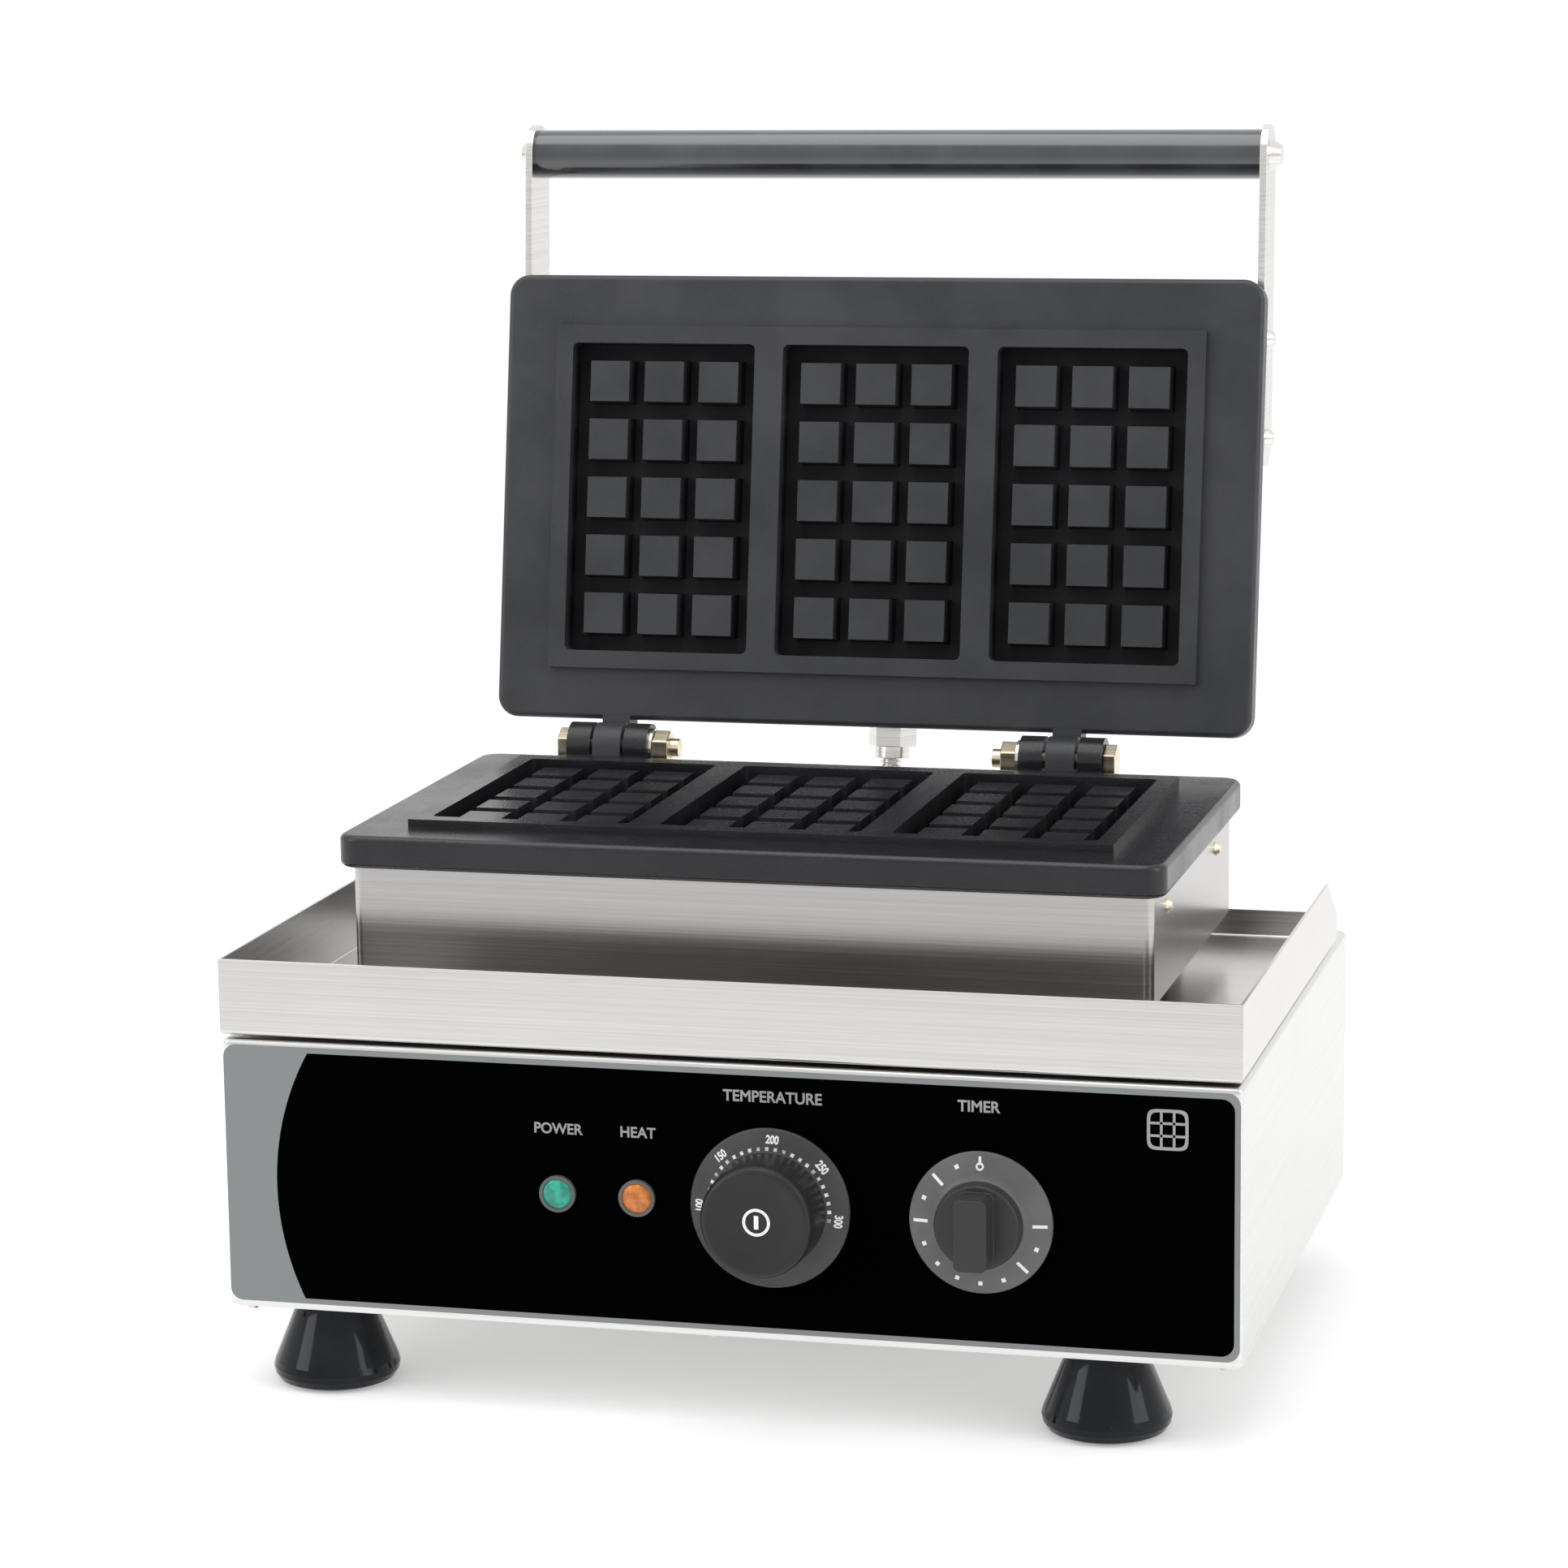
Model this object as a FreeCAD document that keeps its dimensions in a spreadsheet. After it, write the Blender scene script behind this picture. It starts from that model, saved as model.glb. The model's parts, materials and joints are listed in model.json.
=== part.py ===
import FreeCAD, Part
import math
import os
import re
import Sketcher

# Commercial waffle maker: a low casing with a drip tray on it, a heated pedestal with a cast lower
# plate, and a lid with a cast upper plate. Millimetres. +X is right, +Y is back, +Z is up, and the
# origin is on the table below the middle of the open machine. The lid is drawn closed about the
# hinge axis and its placement opens it.

doc = FreeCAD.newDocument("waffle_maker")

driving_sizes = {
    # casing
    "casing_width": 400, "rear_strip": 28, "casing_height": 107, "sheet_wall": 1.2,
    "bend_radius": 2.5, "flange_width": 14, "stand_height": 35, "depth_shift": 150.5, "front_step": 1,
    # drip tray
    "tray_rear_gap": 25, "tray_wall_height": 30, "tray_rear_height": 11.5, "tray_cut_length": 28,
    "tray_gap": 1.5, "tray_bend": 2,
    # pedestal
    "pedestal_height": 43, "pedestal_front": 42,
    "pedestal_lift": 15.8, "pedestal_bend": 4, "spacer_inset": 22, "spacer_radius": 6,
    "sleeve_radius": 14, "sleeve_wall": 1.5, "sleeve_stand": 5,
    # cast plates
    "plate_width": 328.4, "plate_depth": 190.8, "plate_overhang": 5.5, "plate_side_overhang": 5.2,
    "plate_rear_overhang": 0.3, "rim_thickness": 13,
    "plate_corner": 9, "cast_radius": 2.5, "land_rise": 3.3, "land_gap": 0.3,
    "land_side_margin": 23.2, "land_end_margin": 21.9, "cavity_border": 7.5, "cavity_wall": 12.4,
    "cavity_depth": 12, "cavity_corner": 2.5, "block_size": 18.8, "block_drop": 2.2,
    "block_pitch_across": 24.1, "block_pitch_along": 24.9, "block_draft": 4.5,
    "boss_length": 16, "boss_width": 10, "boss_height": 15, "side_screw_drop": 9.6,
    # hinges
    "hinge_setback": 11.4, "hinge_rise": 2.4, "left_hinge_x": -110.3, "right_hinge_x": 86.6,
    "ear_width": 10.3, "knuckle_width": 12.2, "hinge_play": 1.3, "eye_radius": 10,
    "hinge_bolt_radius": 4, "running_fit": 0.06, "open_angle": 99.8,
    # lid
    "housing_side_step": 5.7, "housing_height": 35, "housing_end_step": 5.5, "housing_bend": 3,
    "arm_thickness": 3, "grip_standoff": 54.5, "arm_rise": 27, "arm_tip_radius": 12.5,
    "arm_length": 116.7, "arm_root_rise": 39, "arm_root_radius": 13.5, "grip_radius": 10.4,
    "rod_radius": 5, "arm_screw_pitch": 41.5,
    # heating
    "heater_radius": 4, "heater_half_length": 130, "heater_half_width": 40, "heater_bend": 12,
    "heater_lead": 20, "slab_thickness": 12, "clamp_thickness": 2, "clamp_width": 18,
    # front panel
    "label_thickness": 0.5, "label_margin": 0.8, "label_corner": 5, "label_rise": 2,
    "label_height": 102.7, "lamp_height": 52.5, "power_lamp_x": -64.1, "heat_lamp_x": -32.5,
    "lamp_radius": 7.15, "thermostat_x": 20.4, "thermostat_rise": 52.1, "timer_x": 101.9,
    "timer_rise": 51.2, "thermostat_skirt": 31.2, "timer_skirt": 27.5, "knob_gap": 1.2,
    "spindle_radius": 3, "bush_radius": 5,
    # feet, glands and rear panel
    "left_foot_x": -165.3, "right_foot_x": 144.5, "foot_inset": 26, "foot_base_radius": 25,
    "foot_top_radius": 14.4, "conduit_radius": 4.5, "conduit_x": 6, "gland_rise": 30,
    "gland_length": 18.5, "bushing_inset": 14, "cord_bore_radius": 4, "cord_gland_x": 120,
    "cord_gland_rise": 30,
    "screw_radius": 2, "hole_play": 0.3,
}

# Sizes that follow from the driving ones.
following_sizes = {
    "pedestal_width": "=plate_width - 2 * plate_side_overhang",
    "pedestal_depth": "=plate_depth - plate_overhang - plate_rear_overhang",
    "housing_width": "=plate_width - 2 * housing_side_step",
    "tray_depth": "=pedestal_front + pedestal_depth + tray_rear_gap",
    "casing_depth": "=tray_depth + rear_strip - front_step",
    "arm_reach": "=hinge_setback + plate_depth + grip_standoff",
    "arm_root_reach": "=arm_reach - arm_length",
    "arm_screw_near": "=arm_root_reach - 1.5",
    "arm_screw_far": "=arm_screw_near + arm_screw_pitch",
}

sheet = doc.addObject("Spreadsheet::Sheet", "sizes")
all_sizes = {**driving_sizes, **following_sizes}
for row, (alias, content) in enumerate(all_sizes.items(), start=1):
    sheet.set("A%d" % row, alias)
    sheet.set("B%d" % row, str(content))
    sheet.setAlias("B%d" % row, alias)
doc.recompute()

# Places that follow from the sizes, as expressions.
casing_top = "(stand_height + casing_height)"
cover_low = "(stand_height - sheet_wall)"
tray_low = "(stand_height + casing_height + tray_gap)"
tray_floor = "(%s + sheet_wall)" % tray_low
pedestal_low = "(%s + pedestal_lift)" % tray_floor
pedestal_top = "(%s + pedestal_height)" % pedestal_low
lower_margin = "(%s + rim_thickness)" % pedestal_top
hinge_z = "(%s + hinge_rise)" % lower_margin
tray_front = "(0 - depth_shift)"
tray_rear = "(tray_depth - depth_shift)"
casing_front = "(front_step - depth_shift)"
casing_rear = "(front_step + casing_depth - depth_shift)"
pedestal_front_y = "(pedestal_front - depth_shift)"
pedestal_rear_y = "(pedestal_front + pedestal_depth - depth_shift)"
hinge_y = "(pedestal_front - plate_overhang + plate_depth + hinge_setback - depth_shift)"
plate_middle = "(0 - hinge_setback - plate_depth / 2)"
label_front = "(%s - label_thickness)" % casing_front
upper_margin = "(2 * land_rise + land_gap - hinge_rise)"
housing_low = "(%s + rim_thickness)" % upper_margin
housing_hinge_end = "(0 - hinge_setback - housing_end_step)"
housing_far_end = "(housing_end_step - hinge_setback - plate_depth)"
spacer_x = "(pedestal_width / 2 - spacer_inset)"
spacer_front = "(%s + spacer_inset)" % pedestal_front_y
spacer_rear = "(%s - spacer_inset)" % pedestal_rear_y
pedestal_middle = "(%s + pedestal_depth / 2)" % pedestal_front_y
front_foot_y = "(foot_inset - depth_shift)"
rear_foot_y = "(%s - foot_inset)" % casing_rear

nodes = []


def cells(text):
    """Puts the sheet's name in front of each size in an expression."""
    return re.sub(r"[a-z_]{3,}", lambda word: "sizes." + word.group(), text)


def bind(thing, path, text):
    thing.setExpression(path, cells(text))


def minus(text):
    return "(0 - %s)" % text


def node(label, made, home="base"):
    """Names a finished sub-part. A lid part turns from closed to open about the hinge axis."""
    made.Label = label
    if home == "hinge" or home == "lid":
        turn = FreeCAD.Rotation(FreeCAD.Vector(1, 0, 0), -1 if home == "lid" else 0)
        made.Placement = FreeCAD.Placement(FreeCAD.Vector(), turn)
        bind(made, "Placement.Base.y", hinge_y)
        bind(made, "Placement.Base.z", hinge_z)
    if home == "lid":
        bind(made, "Placement.Rotation.Angle", "0 - open_angle")
    nodes.append((label, made))
    return made


# ---- Part primitives ----

def box(left, right, front, back, low, high):
    made = doc.addObject("Part::Box", "block")
    for axis, side, near, far in (("x", "Length", left, right), ("y", "Width", front, back),
                                  ("z", "Height", low, high)):
        bind(made, side, "(%s) - (%s)" % (far, near))
        bind(made, "Placement.Base." + axis, near)
    return made


turns = {"x": (FreeCAD.Vector(0, 1, 0), 90), "y": (FreeCAD.Vector(1, 0, 0), -90),
         "z": (FreeCAD.Vector(0, 0, 1), 0)}


def along(made, axis, start, places):
    """Lays a round primitive along an axis, from a start on it; places are its other two."""
    direction, degrees = turns[axis]
    made.Placement = FreeCAD.Placement(FreeCAD.Vector(), FreeCAD.Rotation(direction, degrees))
    others = [name for name in "xyz" if name != axis]
    bind(made, "Placement.Base." + axis, start)
    for name, place in zip(others, places):
        bind(made, "Placement.Base." + name, place)
    return made


def rod(axis, start, end, places, radius):
    made = doc.addObject("Part::Cylinder", "rod")
    bind(made, "Radius", radius)
    bind(made, "Height", "(%s) - (%s)" % (end, start))
    return along(made, axis, start, places)


def hexagon(axis, start, end, places, corner_radius):
    made = doc.addObject("Part::Prism", "hexagon")
    made.Polygon = 6
    bind(made, "Circumradius", corner_radius)
    bind(made, "Height", "(%s) - (%s)" % (end, start))
    return along(made, axis, start, places)


def dome(axis, start, places, radius, height, outward):
    """A low round screw head: a cone frustum on the seat, flat on top."""
    made = doc.addObject("Part::Cone", "dome")
    low, high = ("%s" % radius, "(%s) * 0.6" % radius)
    bind(made, "Radius1", low if outward > 0 else high)
    bind(made, "Radius2", high if outward > 0 else low)
    bind(made, "Height", height)
    seat = start if outward > 0 else "(%s) - (%s)" % (start, height)
    return along(made, axis, seat, places)


def join(pieces, kind="Part::MultiFuse"):
    made = doc.addObject(kind, "joined")
    if kind == "Part::Compound":
        made.Links = pieces
    else:
        made.Shapes = pieces
    return made


def group(pieces):
    return join(pieces, "Part::Compound")


def cut(base, tools):
    made = doc.addObject("Part::Cut", "cut")
    made.Base = base
    made.Tool = tools[0] if len(tools) == 1 else join(tools)
    return made


def tube(axis, start, end, places, outer, inner):
    hollow = rod(axis, "(%s) - 1" % start, "(%s) + 1" % end, places, inner)
    return cut(rod(axis, start, end, places, outer), [hollow])


def screw(axis, seat, places, outward, shank_length, shank, head, head_height):
    """A round-head screw: the head stands outward from its seat, the shank goes in."""
    far = "(%s) - (%d) * (%s)" % (seat, outward, shank_length)
    start, end = (far, seat) if outward > 0 else (seat, far)
    return join([rod(axis, start, end, places, shank),
                 dome(axis, seat, places, head, head_height, outward)])


# ---- PartDesign bodies ----

def new_body(name):
    return doc.addObject("PartDesign::Body", name)


def sketch_on(owner, plane, offset="0"):
    """A sketch parallel to one of the body's own origin planes."""
    made = owner.newObject("Sketcher::SketchObject", owner.Name + "_sketch")
    found = [item for item in owner.Origin.OriginFeatures if item.Role == plane + "_Plane"]
    made.AttachmentSupport = [(found[0], "")]
    made.MapMode = "FlatFace"
    bind(made, "AttachmentOffset.Base.z", minus(offset) if plane == "XZ" else offset)
    return made


def hold(sketch, place, corner, line):
    """Ties one end point of a line to a coordinate pair given as expressions."""
    for kind, axis, text in (("DistanceX", -2, place[0]), ("DistanceY", -1, place[1])):
        if text == "0":
            sketch.addConstraint(Sketcher.Constraint("PointOnObject", line, corner, axis))
        else:
            index = sketch.addConstraint(Sketcher.Constraint(kind, -1, 1, line, corner, 1.0))
            bind(sketch, "Constraints[%d]" % index, text)


def polygon(sketch, corners):
    first = sketch.GeometryCount
    count = len(corners)
    ring = [FreeCAD.Vector(math.cos(2 * math.pi * i / count), math.sin(2 * math.pi * i / count), 0)
            for i in range(count)]
    for i in range(count):
        sketch.addGeometry(Part.LineSegment(ring[i], ring[(i + 1) % count]), False)
    for i in range(count):
        following = first + (i + 1) % count
        sketch.addConstraint(Sketcher.Constraint("Coincident", first + i, 2, following, 1))
        hold(sketch, corners[i], 1, first + i)


def rectangle(sketch, left, right, low, high):
    polygon(sketch, [(left, low), (right, low), (right, high), (left, high)])


def circle(sketch, across, upward, radius):
    index = sketch.addGeometry(Part.Circle(FreeCAD.Vector(), FreeCAD.Vector(0, 0, 1), 1), False)
    hold(sketch, (across, upward), 3, index)
    size = sketch.addConstraint(Sketcher.Constraint("Radius", index, 1.0))
    bind(sketch, "Constraints[%d]" % size, radius)


def pad(owner, sketch, length, reverse=False, midplane=False):
    made = owner.newObject("PartDesign::Pad", owner.Name + "_pad")
    made.Profile = sketch
    bind(made, "Length", length)
    made.Reversed = reverse
    made.Midplane = midplane
    owner.Tip = made
    doc.recompute()
    return made


def pocket(owner, sketch, length, reverse=False, midplane=False):
    before = owner.Shape.Volume
    made = owner.newObject("PartDesign::Pocket", owner.Name + "_pocket")
    made.Profile = sketch
    bind(made, "Length", length)
    made.Reversed = reverse
    made.Midplane = midplane
    owner.Tip = made
    doc.recompute()
    if not owner.Shape.Volume < before - 0.01:
        raise ValueError("a pocket of %s cuts nothing" % owner.Name)
    return made


def fillet(owner, radius, wanted):
    """Rounds the edges of the body so far that the test picks."""
    base = owner.Tip
    names = ["Edge%d" % (i + 1) for i, edge in enumerate(base.Shape.Edges) if wanted(edge)]
    made = owner.newObject("PartDesign::Fillet", owner.Name + "_fillet")
    made.Base = (base, names)
    bind(made, "Radius", radius)
    owner.Tip = made
    doc.recompute()
    return made


def runs(edge, axis):
    """True for a straight edge along the named axis."""
    ends = [vertex.Point for vertex in edge.Vertexes]
    if len(ends) != 2:
        return False
    across = ends[1] - ends[0]
    return all(abs(getattr(across, name)) < 0.001 for name in "xyz" if name != axis)


def size_of(alias):
    return float(sheet.get(alias))


def revolved(name, profile, plane="XZ"):
    """A body turned about the sketch's vertical axis."""
    owner = new_body(name)
    outline = sketch_on(owner, plane)
    polygon(outline, profile)
    made = owner.newObject("PartDesign::Revolution", name + "_turn")
    made.Profile = outline
    made.ReferenceAxis = (outline, ["V_Axis"])
    made.Angle = 360
    owner.Tip = made
    doc.recompute()
    return owner


def facing_front(made, across, upward, seat):
    """Turns a piece drawn about Z so that it stands out of the front panel."""
    made.Placement = FreeCAD.Placement(FreeCAD.Vector(), FreeCAD.Rotation(FreeCAD.Vector(1, 0, 0), 90))
    bind(made, "Placement.Base.x", across)
    bind(made, "Placement.Base.y", seat)
    bind(made, "Placement.Base.z", upward)
    return made


def bent_wire(corners, bend=None):
    """Straight runs between the corners, with a round bend at each inner corner. Without a bend
    radius, each bend is as large as its two runs allow."""
    points = [FreeCAD.Vector(*corner) for corner in corners]
    edges = []
    start = points[0]
    for before, corner, after in zip(points, points[1:], points[2:]):
        back = (before - corner).normalize()
        on = (after - corner).normalize()
        half = back.getAngle(on) / 2
        shorter = min(before.distanceToPoint(corner), after.distanceToPoint(corner))
        reach = bend / math.tan(half) if bend else 0.45 * shorter
        radius = reach * math.tan(half)
        entry, leave = corner + back * reach, corner + on * reach
        centre = corner + (back + on).normalize() * (radius / math.sin(half))
        middle = centre + (corner - centre).normalize() * radius
        edges.append(Part.makeLine(start, entry))
        edges.append(Part.Arc(entry, middle, leave).toShape())
        start = leave
    edges.append(Part.makeLine(start, points[-1]))
    return Part.Wire(edges)


def round_bar(path, radius):
    """A round bar swept along a wire."""
    first = path.Edges[0]
    start = first.valueAt(first.FirstParameter)
    ring = Part.makeCircle(radius, start, first.tangentAt(first.FirstParameter))
    return path.makePipeShell([Part.Wire([ring])], True, False)


# ---- casing ----

def make_casing():
    half = "(casing_width / 2)"
    inner = "(casing_width / 2 - sheet_wall)"
    part = new_body("casing_shell")
    outline = sketch_on(part, "XY", "stand_height")
    rectangle(outline, minus(half), half, casing_front, casing_rear)
    pad(part, outline, "casing_height")
    front = size_of("front_step") - size_of("depth_shift")
    high = size_of("stand_height") + size_of("casing_height")

    def bends(edge):
        centre = edge.CenterOfMass
        upright = runs(edge, "z") and abs(centre.y - front) < 0.01
        around = abs(centre.z - high) < 0.01 and (runs(edge, "y") or abs(centre.y - front) < 0.01)
        return upright or around

    fillet(part, "bend_radius", bends)
    hollow = sketch_on(part, "XZ", casing_rear)
    rectangle(hollow, minus(inner), inner, "(stand_height + sheet_wall)", "(%s - sheet_wall)" % casing_top)
    pocket(part, hollow, "casing_depth - sheet_wall", reverse=True)
    opening = sketch_on(part, "XY", "stand_height + sheet_wall")
    edge = "(casing_width / 2 - flange_width)"
    rectangle(opening, minus(edge), edge, "(%s + flange_width)" % casing_front, "(%s + 1)" % casing_rear)
    pocket(part, opening, "sheet_wall")
    for side in (-1, 1):
        tab = sketch_on(part, "XZ", "(%s - sheet_wall - hole_play)" % casing_rear)
        near, far = "(%d * (%s + 0.5 * sheet_wall))" % (side, inner), "(%d * (%s - flange_width))" % (side, inner)
        low, top = "(stand_height + 2 * sheet_wall + 1)", "(%s - 0.5 * sheet_wall)" % casing_top
        rectangle(tab, near, far, low, top)
        pad(part, tab, "sheet_wall")
    controls = sketch_on(part, "XZ", casing_front)
    circle(controls, "thermostat_x", "(stand_height + thermostat_rise)", "bush_radius + hole_play")
    circle(controls, "timer_x", "(stand_height + timer_rise)", "bush_radius + hole_play")
    for lamp in ("power_lamp_x", "heat_lamp_x"):
        circle(controls, lamp, "(stand_height + lamp_height)", "lamp_radius - 1")
    pocket(part, controls, "2 * sheet_wall")
    roof = sketch_on(part, "XY", casing_top)
    circle(roof, "0", pedestal_middle, "sleeve_radius + hole_play")
    circle(roof, "conduit_x", "(%s - bushing_inset)" % casing_rear, "conduit_radius + 3 + hole_play")
    for side in (-1, 1):
        for place in (spacer_front, spacer_rear):
            circle(roof, "(%d * %s)" % (side, spacer_x), place, "screw_radius + 1 + hole_play")
    pocket(part, roof, "2 * sheet_wall")
    tabs = sketch_on(part, "XZ", casing_rear)
    for side in (-1, 1):
        for rise in rear_screw_rises:
            circle(tabs, "(%d * %s)" % (side, rear_screw_x), rise, "screw_radius + hole_play")
    pocket(part, tabs, "4 * sheet_wall", reverse=True)
    flanges = sketch_on(part, "XY", "stand_height")
    for across, back in cover_screw_places:
        circle(flanges, across, back, "screw_radius + hole_play")
    pocket(part, flanges, "2 * sheet_wall", reverse=True)
    return node("casing_shell", part)


rear_screw_x = "(casing_width / 2 - sheet_wall - flange_width / 2)"
rear_screw_rises = ("(stand_height + 14)", "(%s - 14)" % casing_top)
cover_edge = "(casing_width / 2 - flange_width / 2)"
cover_front = "(%s + flange_width / 2)" % casing_front
cover_screw_places = [(minus(cover_edge), cover_front), ("(0 - 5)", cover_front), (cover_edge, cover_front),
                      (minus(cover_edge), pedestal_middle), (cover_edge, pedestal_middle)]


def make_rear_panel():
    half = "(casing_width / 2 - sheet_wall - hole_play)"
    low, high = "(stand_height + sheet_wall + hole_play)", "(%s - sheet_wall - hole_play)" % casing_top
    part = new_body("rear_panel")
    outline = sketch_on(part, "XZ", casing_rear)
    rectangle(outline, minus(half), half, low, high)
    pad(part, outline, "sheet_wall")
    slots = sketch_on(part, "XZ", casing_rear)
    for column in range(8):
        left = "(0 - 150 + %d)" % (column * 14)
        rectangle(slots, left, "(%s + 5)" % left, "(stand_height + 32)", "(%s - 32)" % casing_top)
    circle(slots, "cord_gland_x", "(stand_height + cord_gland_rise)", "cord_bore_radius + 4 + hole_play")
    for side in (-1, 1):
        for rise in rear_screw_rises:
            circle(slots, "(%d * %s)" % (side, rear_screw_x), rise, "screw_radius + hole_play")
    pocket(part, slots, "2 * sheet_wall", reverse=True)
    return node("rear_panel", part)


def make_bottom_cover():
    half = "(casing_width / 2 - 2 * sheet_wall)"
    part = new_body("bottom_cover")
    outline = sketch_on(part, "XY", cover_low)
    front, back = "(%s + 2 * sheet_wall)" % casing_front, "(%s - 2 * sheet_wall)" % casing_rear
    rectangle(outline, minus(half), half, front, back)
    pad(part, outline, "sheet_wall")
    holes = sketch_on(part, "XY", cover_low)
    for across in ("left_foot_x", "right_foot_x"):
        for back in (front_foot_y, rear_foot_y):
            circle(holes, across, back, "screw_radius + 1 + hole_play")
    for across, back in cover_screw_places:
        circle(holes, across, back, "screw_radius + hole_play")
    for column in range(6):
        left = "(0 - 60 + %d)" % (column * 20)
        rectangle(holes, left, "(%s + 5)" % left, "(0 - 40)", "40")
    pocket(part, holes, "2 * sheet_wall", reverse=True)
    return node("bottom_cover", part)


# ---- drip tray ----

def make_drip_tray():
    half, inner = "(casing_width / 2)", "(casing_width / 2 - sheet_wall)"
    part = new_body("drip_tray")
    outline = sketch_on(part, "XY", tray_low)
    rectangle(outline, minus(half), half, tray_front, tray_rear)
    pad(part, outline, "tray_wall_height")
    low = size_of("stand_height") + size_of("casing_height") + size_of("tray_gap")
    fillet(part, "tray_bend", lambda edge: abs(edge.CenterOfMass.z - low) < 0.01)
    hollow = sketch_on(part, "XY", tray_floor)
    rectangle(hollow, minus(inner), inner, "(%s + sheet_wall)" % tray_front, "(%s - sheet_wall)" % tray_rear)
    pocket(part, hollow, "tray_wall_height", reverse=True)
    low = size_of("stand_height") + size_of("casing_height") + size_of("tray_gap") + size_of("sheet_wall")
    inside = size_of("casing_width") / 2 - size_of("sheet_wall")

    def floor_edge(edge):
        centre = edge.CenterOfMass
        return abs(centre.z - low) < 0.01 and abs(centre.x) < inside + 0.01

    fillet(part, "tray_bend - sheet_wall", floor_edge)
    slope = sketch_on(part, "YZ")
    rear_low = "(%s + tray_rear_height)" % tray_low
    high = "(%s + tray_wall_height)" % tray_low
    beyond = "(%s + 1)" % tray_rear
    polygon(slope, [(tray_rear, rear_low), (beyond, rear_low), (beyond, high + " + 1"),
                    ("(%s - tray_cut_length)" % tray_rear, high + " + 1"),
                    ("(%s - tray_cut_length)" % tray_rear, high)])
    pocket(part, slope, "casing_width + 10", midplane=True)
    holes = sketch_on(part, "XY", tray_floor)
    circle(holes, "0", pedestal_middle, "sleeve_radius + hole_play")
    for side in (-1, 1):
        for place in (spacer_front, spacer_rear):
            circle(holes, "(%d * %s)" % (side, spacer_x), place, "screw_radius + 1 + hole_play")
    pocket(part, holes, "2 * sheet_wall")
    return node("drip_tray", part)


# ---- pedestal ----

def make_pedestal():
    half, inner = "(pedestal_width / 2)", "(pedestal_width / 2 - sheet_wall)"
    part = new_body("pedestal_housing")
    outline = sketch_on(part, "XY", pedestal_low)
    rectangle(outline, minus(half), half, pedestal_front_y, pedestal_rear_y)
    pad(part, outline, "pedestal_height")
    fillet(part, "pedestal_bend", lambda edge: runs(edge, "z"))
    hollow = sketch_on(part, "XY", "(%s + sheet_wall)" % pedestal_low)
    front, back = "(%s + sheet_wall)" % pedestal_front_y, "(%s - sheet_wall)" % pedestal_rear_y
    rectangle(hollow, minus(inner), inner, front, back)
    pocket(part, hollow, "pedestal_height", reverse=True)
    floor = size_of("sheet_wall") * 2 + size_of("stand_height") + size_of("casing_height")
    floor += size_of("tray_gap") + size_of("pedestal_lift")
    top = floor + size_of("pedestal_height") - size_of("sheet_wall")
    reach = size_of("pedestal_width") / 2 - size_of("sheet_wall")

    def inner_corner(edge):
        centre = edge.CenterOfMass
        tall = abs(centre.z - (floor + top) / 2) < 0.01
        return runs(edge, "z") and tall and abs(abs(centre.x) - reach) < 0.01

    fillet(part, "pedestal_bend - sheet_wall", inner_corner)
    holes = sketch_on(part, "XY", "(%s + sheet_wall)" % pedestal_low)
    circle(holes, "0", pedestal_middle, "sleeve_radius + hole_play")
    for side in (-1, 1):
        for place in (spacer_front, spacer_rear):
            circle(holes, "(%d * %s)" % (side, spacer_x), place, "screw_radius + 1 + hole_play")
    pocket(part, holes, "2 * sheet_wall")
    sides = sketch_on(part, "YZ")
    for place in lower_screw_places:
        circle(sides, "(%s + %s)" % (hinge_y, place), "(%s - side_screw_drop)" % pedestal_top,
               "screw_radius + hole_play")
    pocket(part, sides, "pedestal_width + 10", midplane=True)
    return node("pedestal_housing", part)


lower_screw_places = ("(%s - 57)" % plate_middle, "(%s + 57)" % plate_middle)
upper_screw_places = ("(0 - hinge_setback - 88)", "(0 - hinge_setback - 18)")


def make_spacing():
    """The washers, spacers, bolts and nuts that stand the pedestal off the tray and casing."""
    washers, spacers, bolts, nuts = [], [], [], []
    hole = "(screw_radius + 1 + hole_play)"
    for side in (-1, 1):
        for place in (spacer_front, spacer_rear):
            at = ("(%d * %s)" % (side, spacer_x), place)
            washers.append(tube("z", casing_top, tray_low, at, "spacer_radius + 2", hole))
            spacers.append(tube("z", tray_floor, pedestal_low, at, "spacer_radius", hole))
            seat = "(%s + sheet_wall)" % pedestal_low
            shank = "%s - (%s - sheet_wall - 9)" % (seat, casing_top)
            bolts.append(screw("z", seat, at, 1, shank, "screw_radius + 1", "screw_radius * 2.5", "3"))
            nut_top = "(%s - sheet_wall)" % casing_top
            nut = hexagon("z", "(%s - 4)" % nut_top, nut_top, at, "5.5")
            nuts.append(cut(nut, [rod("z", "%s - 5" % nut_top, "%s + 1" % nut_top, at,
                                      "screw_radius + 1.05")]))
    node("tray_washers", group(washers))
    node("pedestal_spacers", group(spacers))
    node("pedestal_bolts", group(bolts))
    node("pedestal_nuts", group(nuts))
    low, high = "(%s - sheet_wall - sleeve_stand)" % casing_top, "(%s + sheet_wall + sleeve_stand)" % pedestal_low
    node("wiring_sleeve", tube("z", low, high, ("0", pedestal_middle), "sleeve_radius",
                               "sleeve_radius - sleeve_wall"))


# ---- cast plates ----

hinge_xs = ("left_hinge_x", "right_hinge_x")


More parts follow.
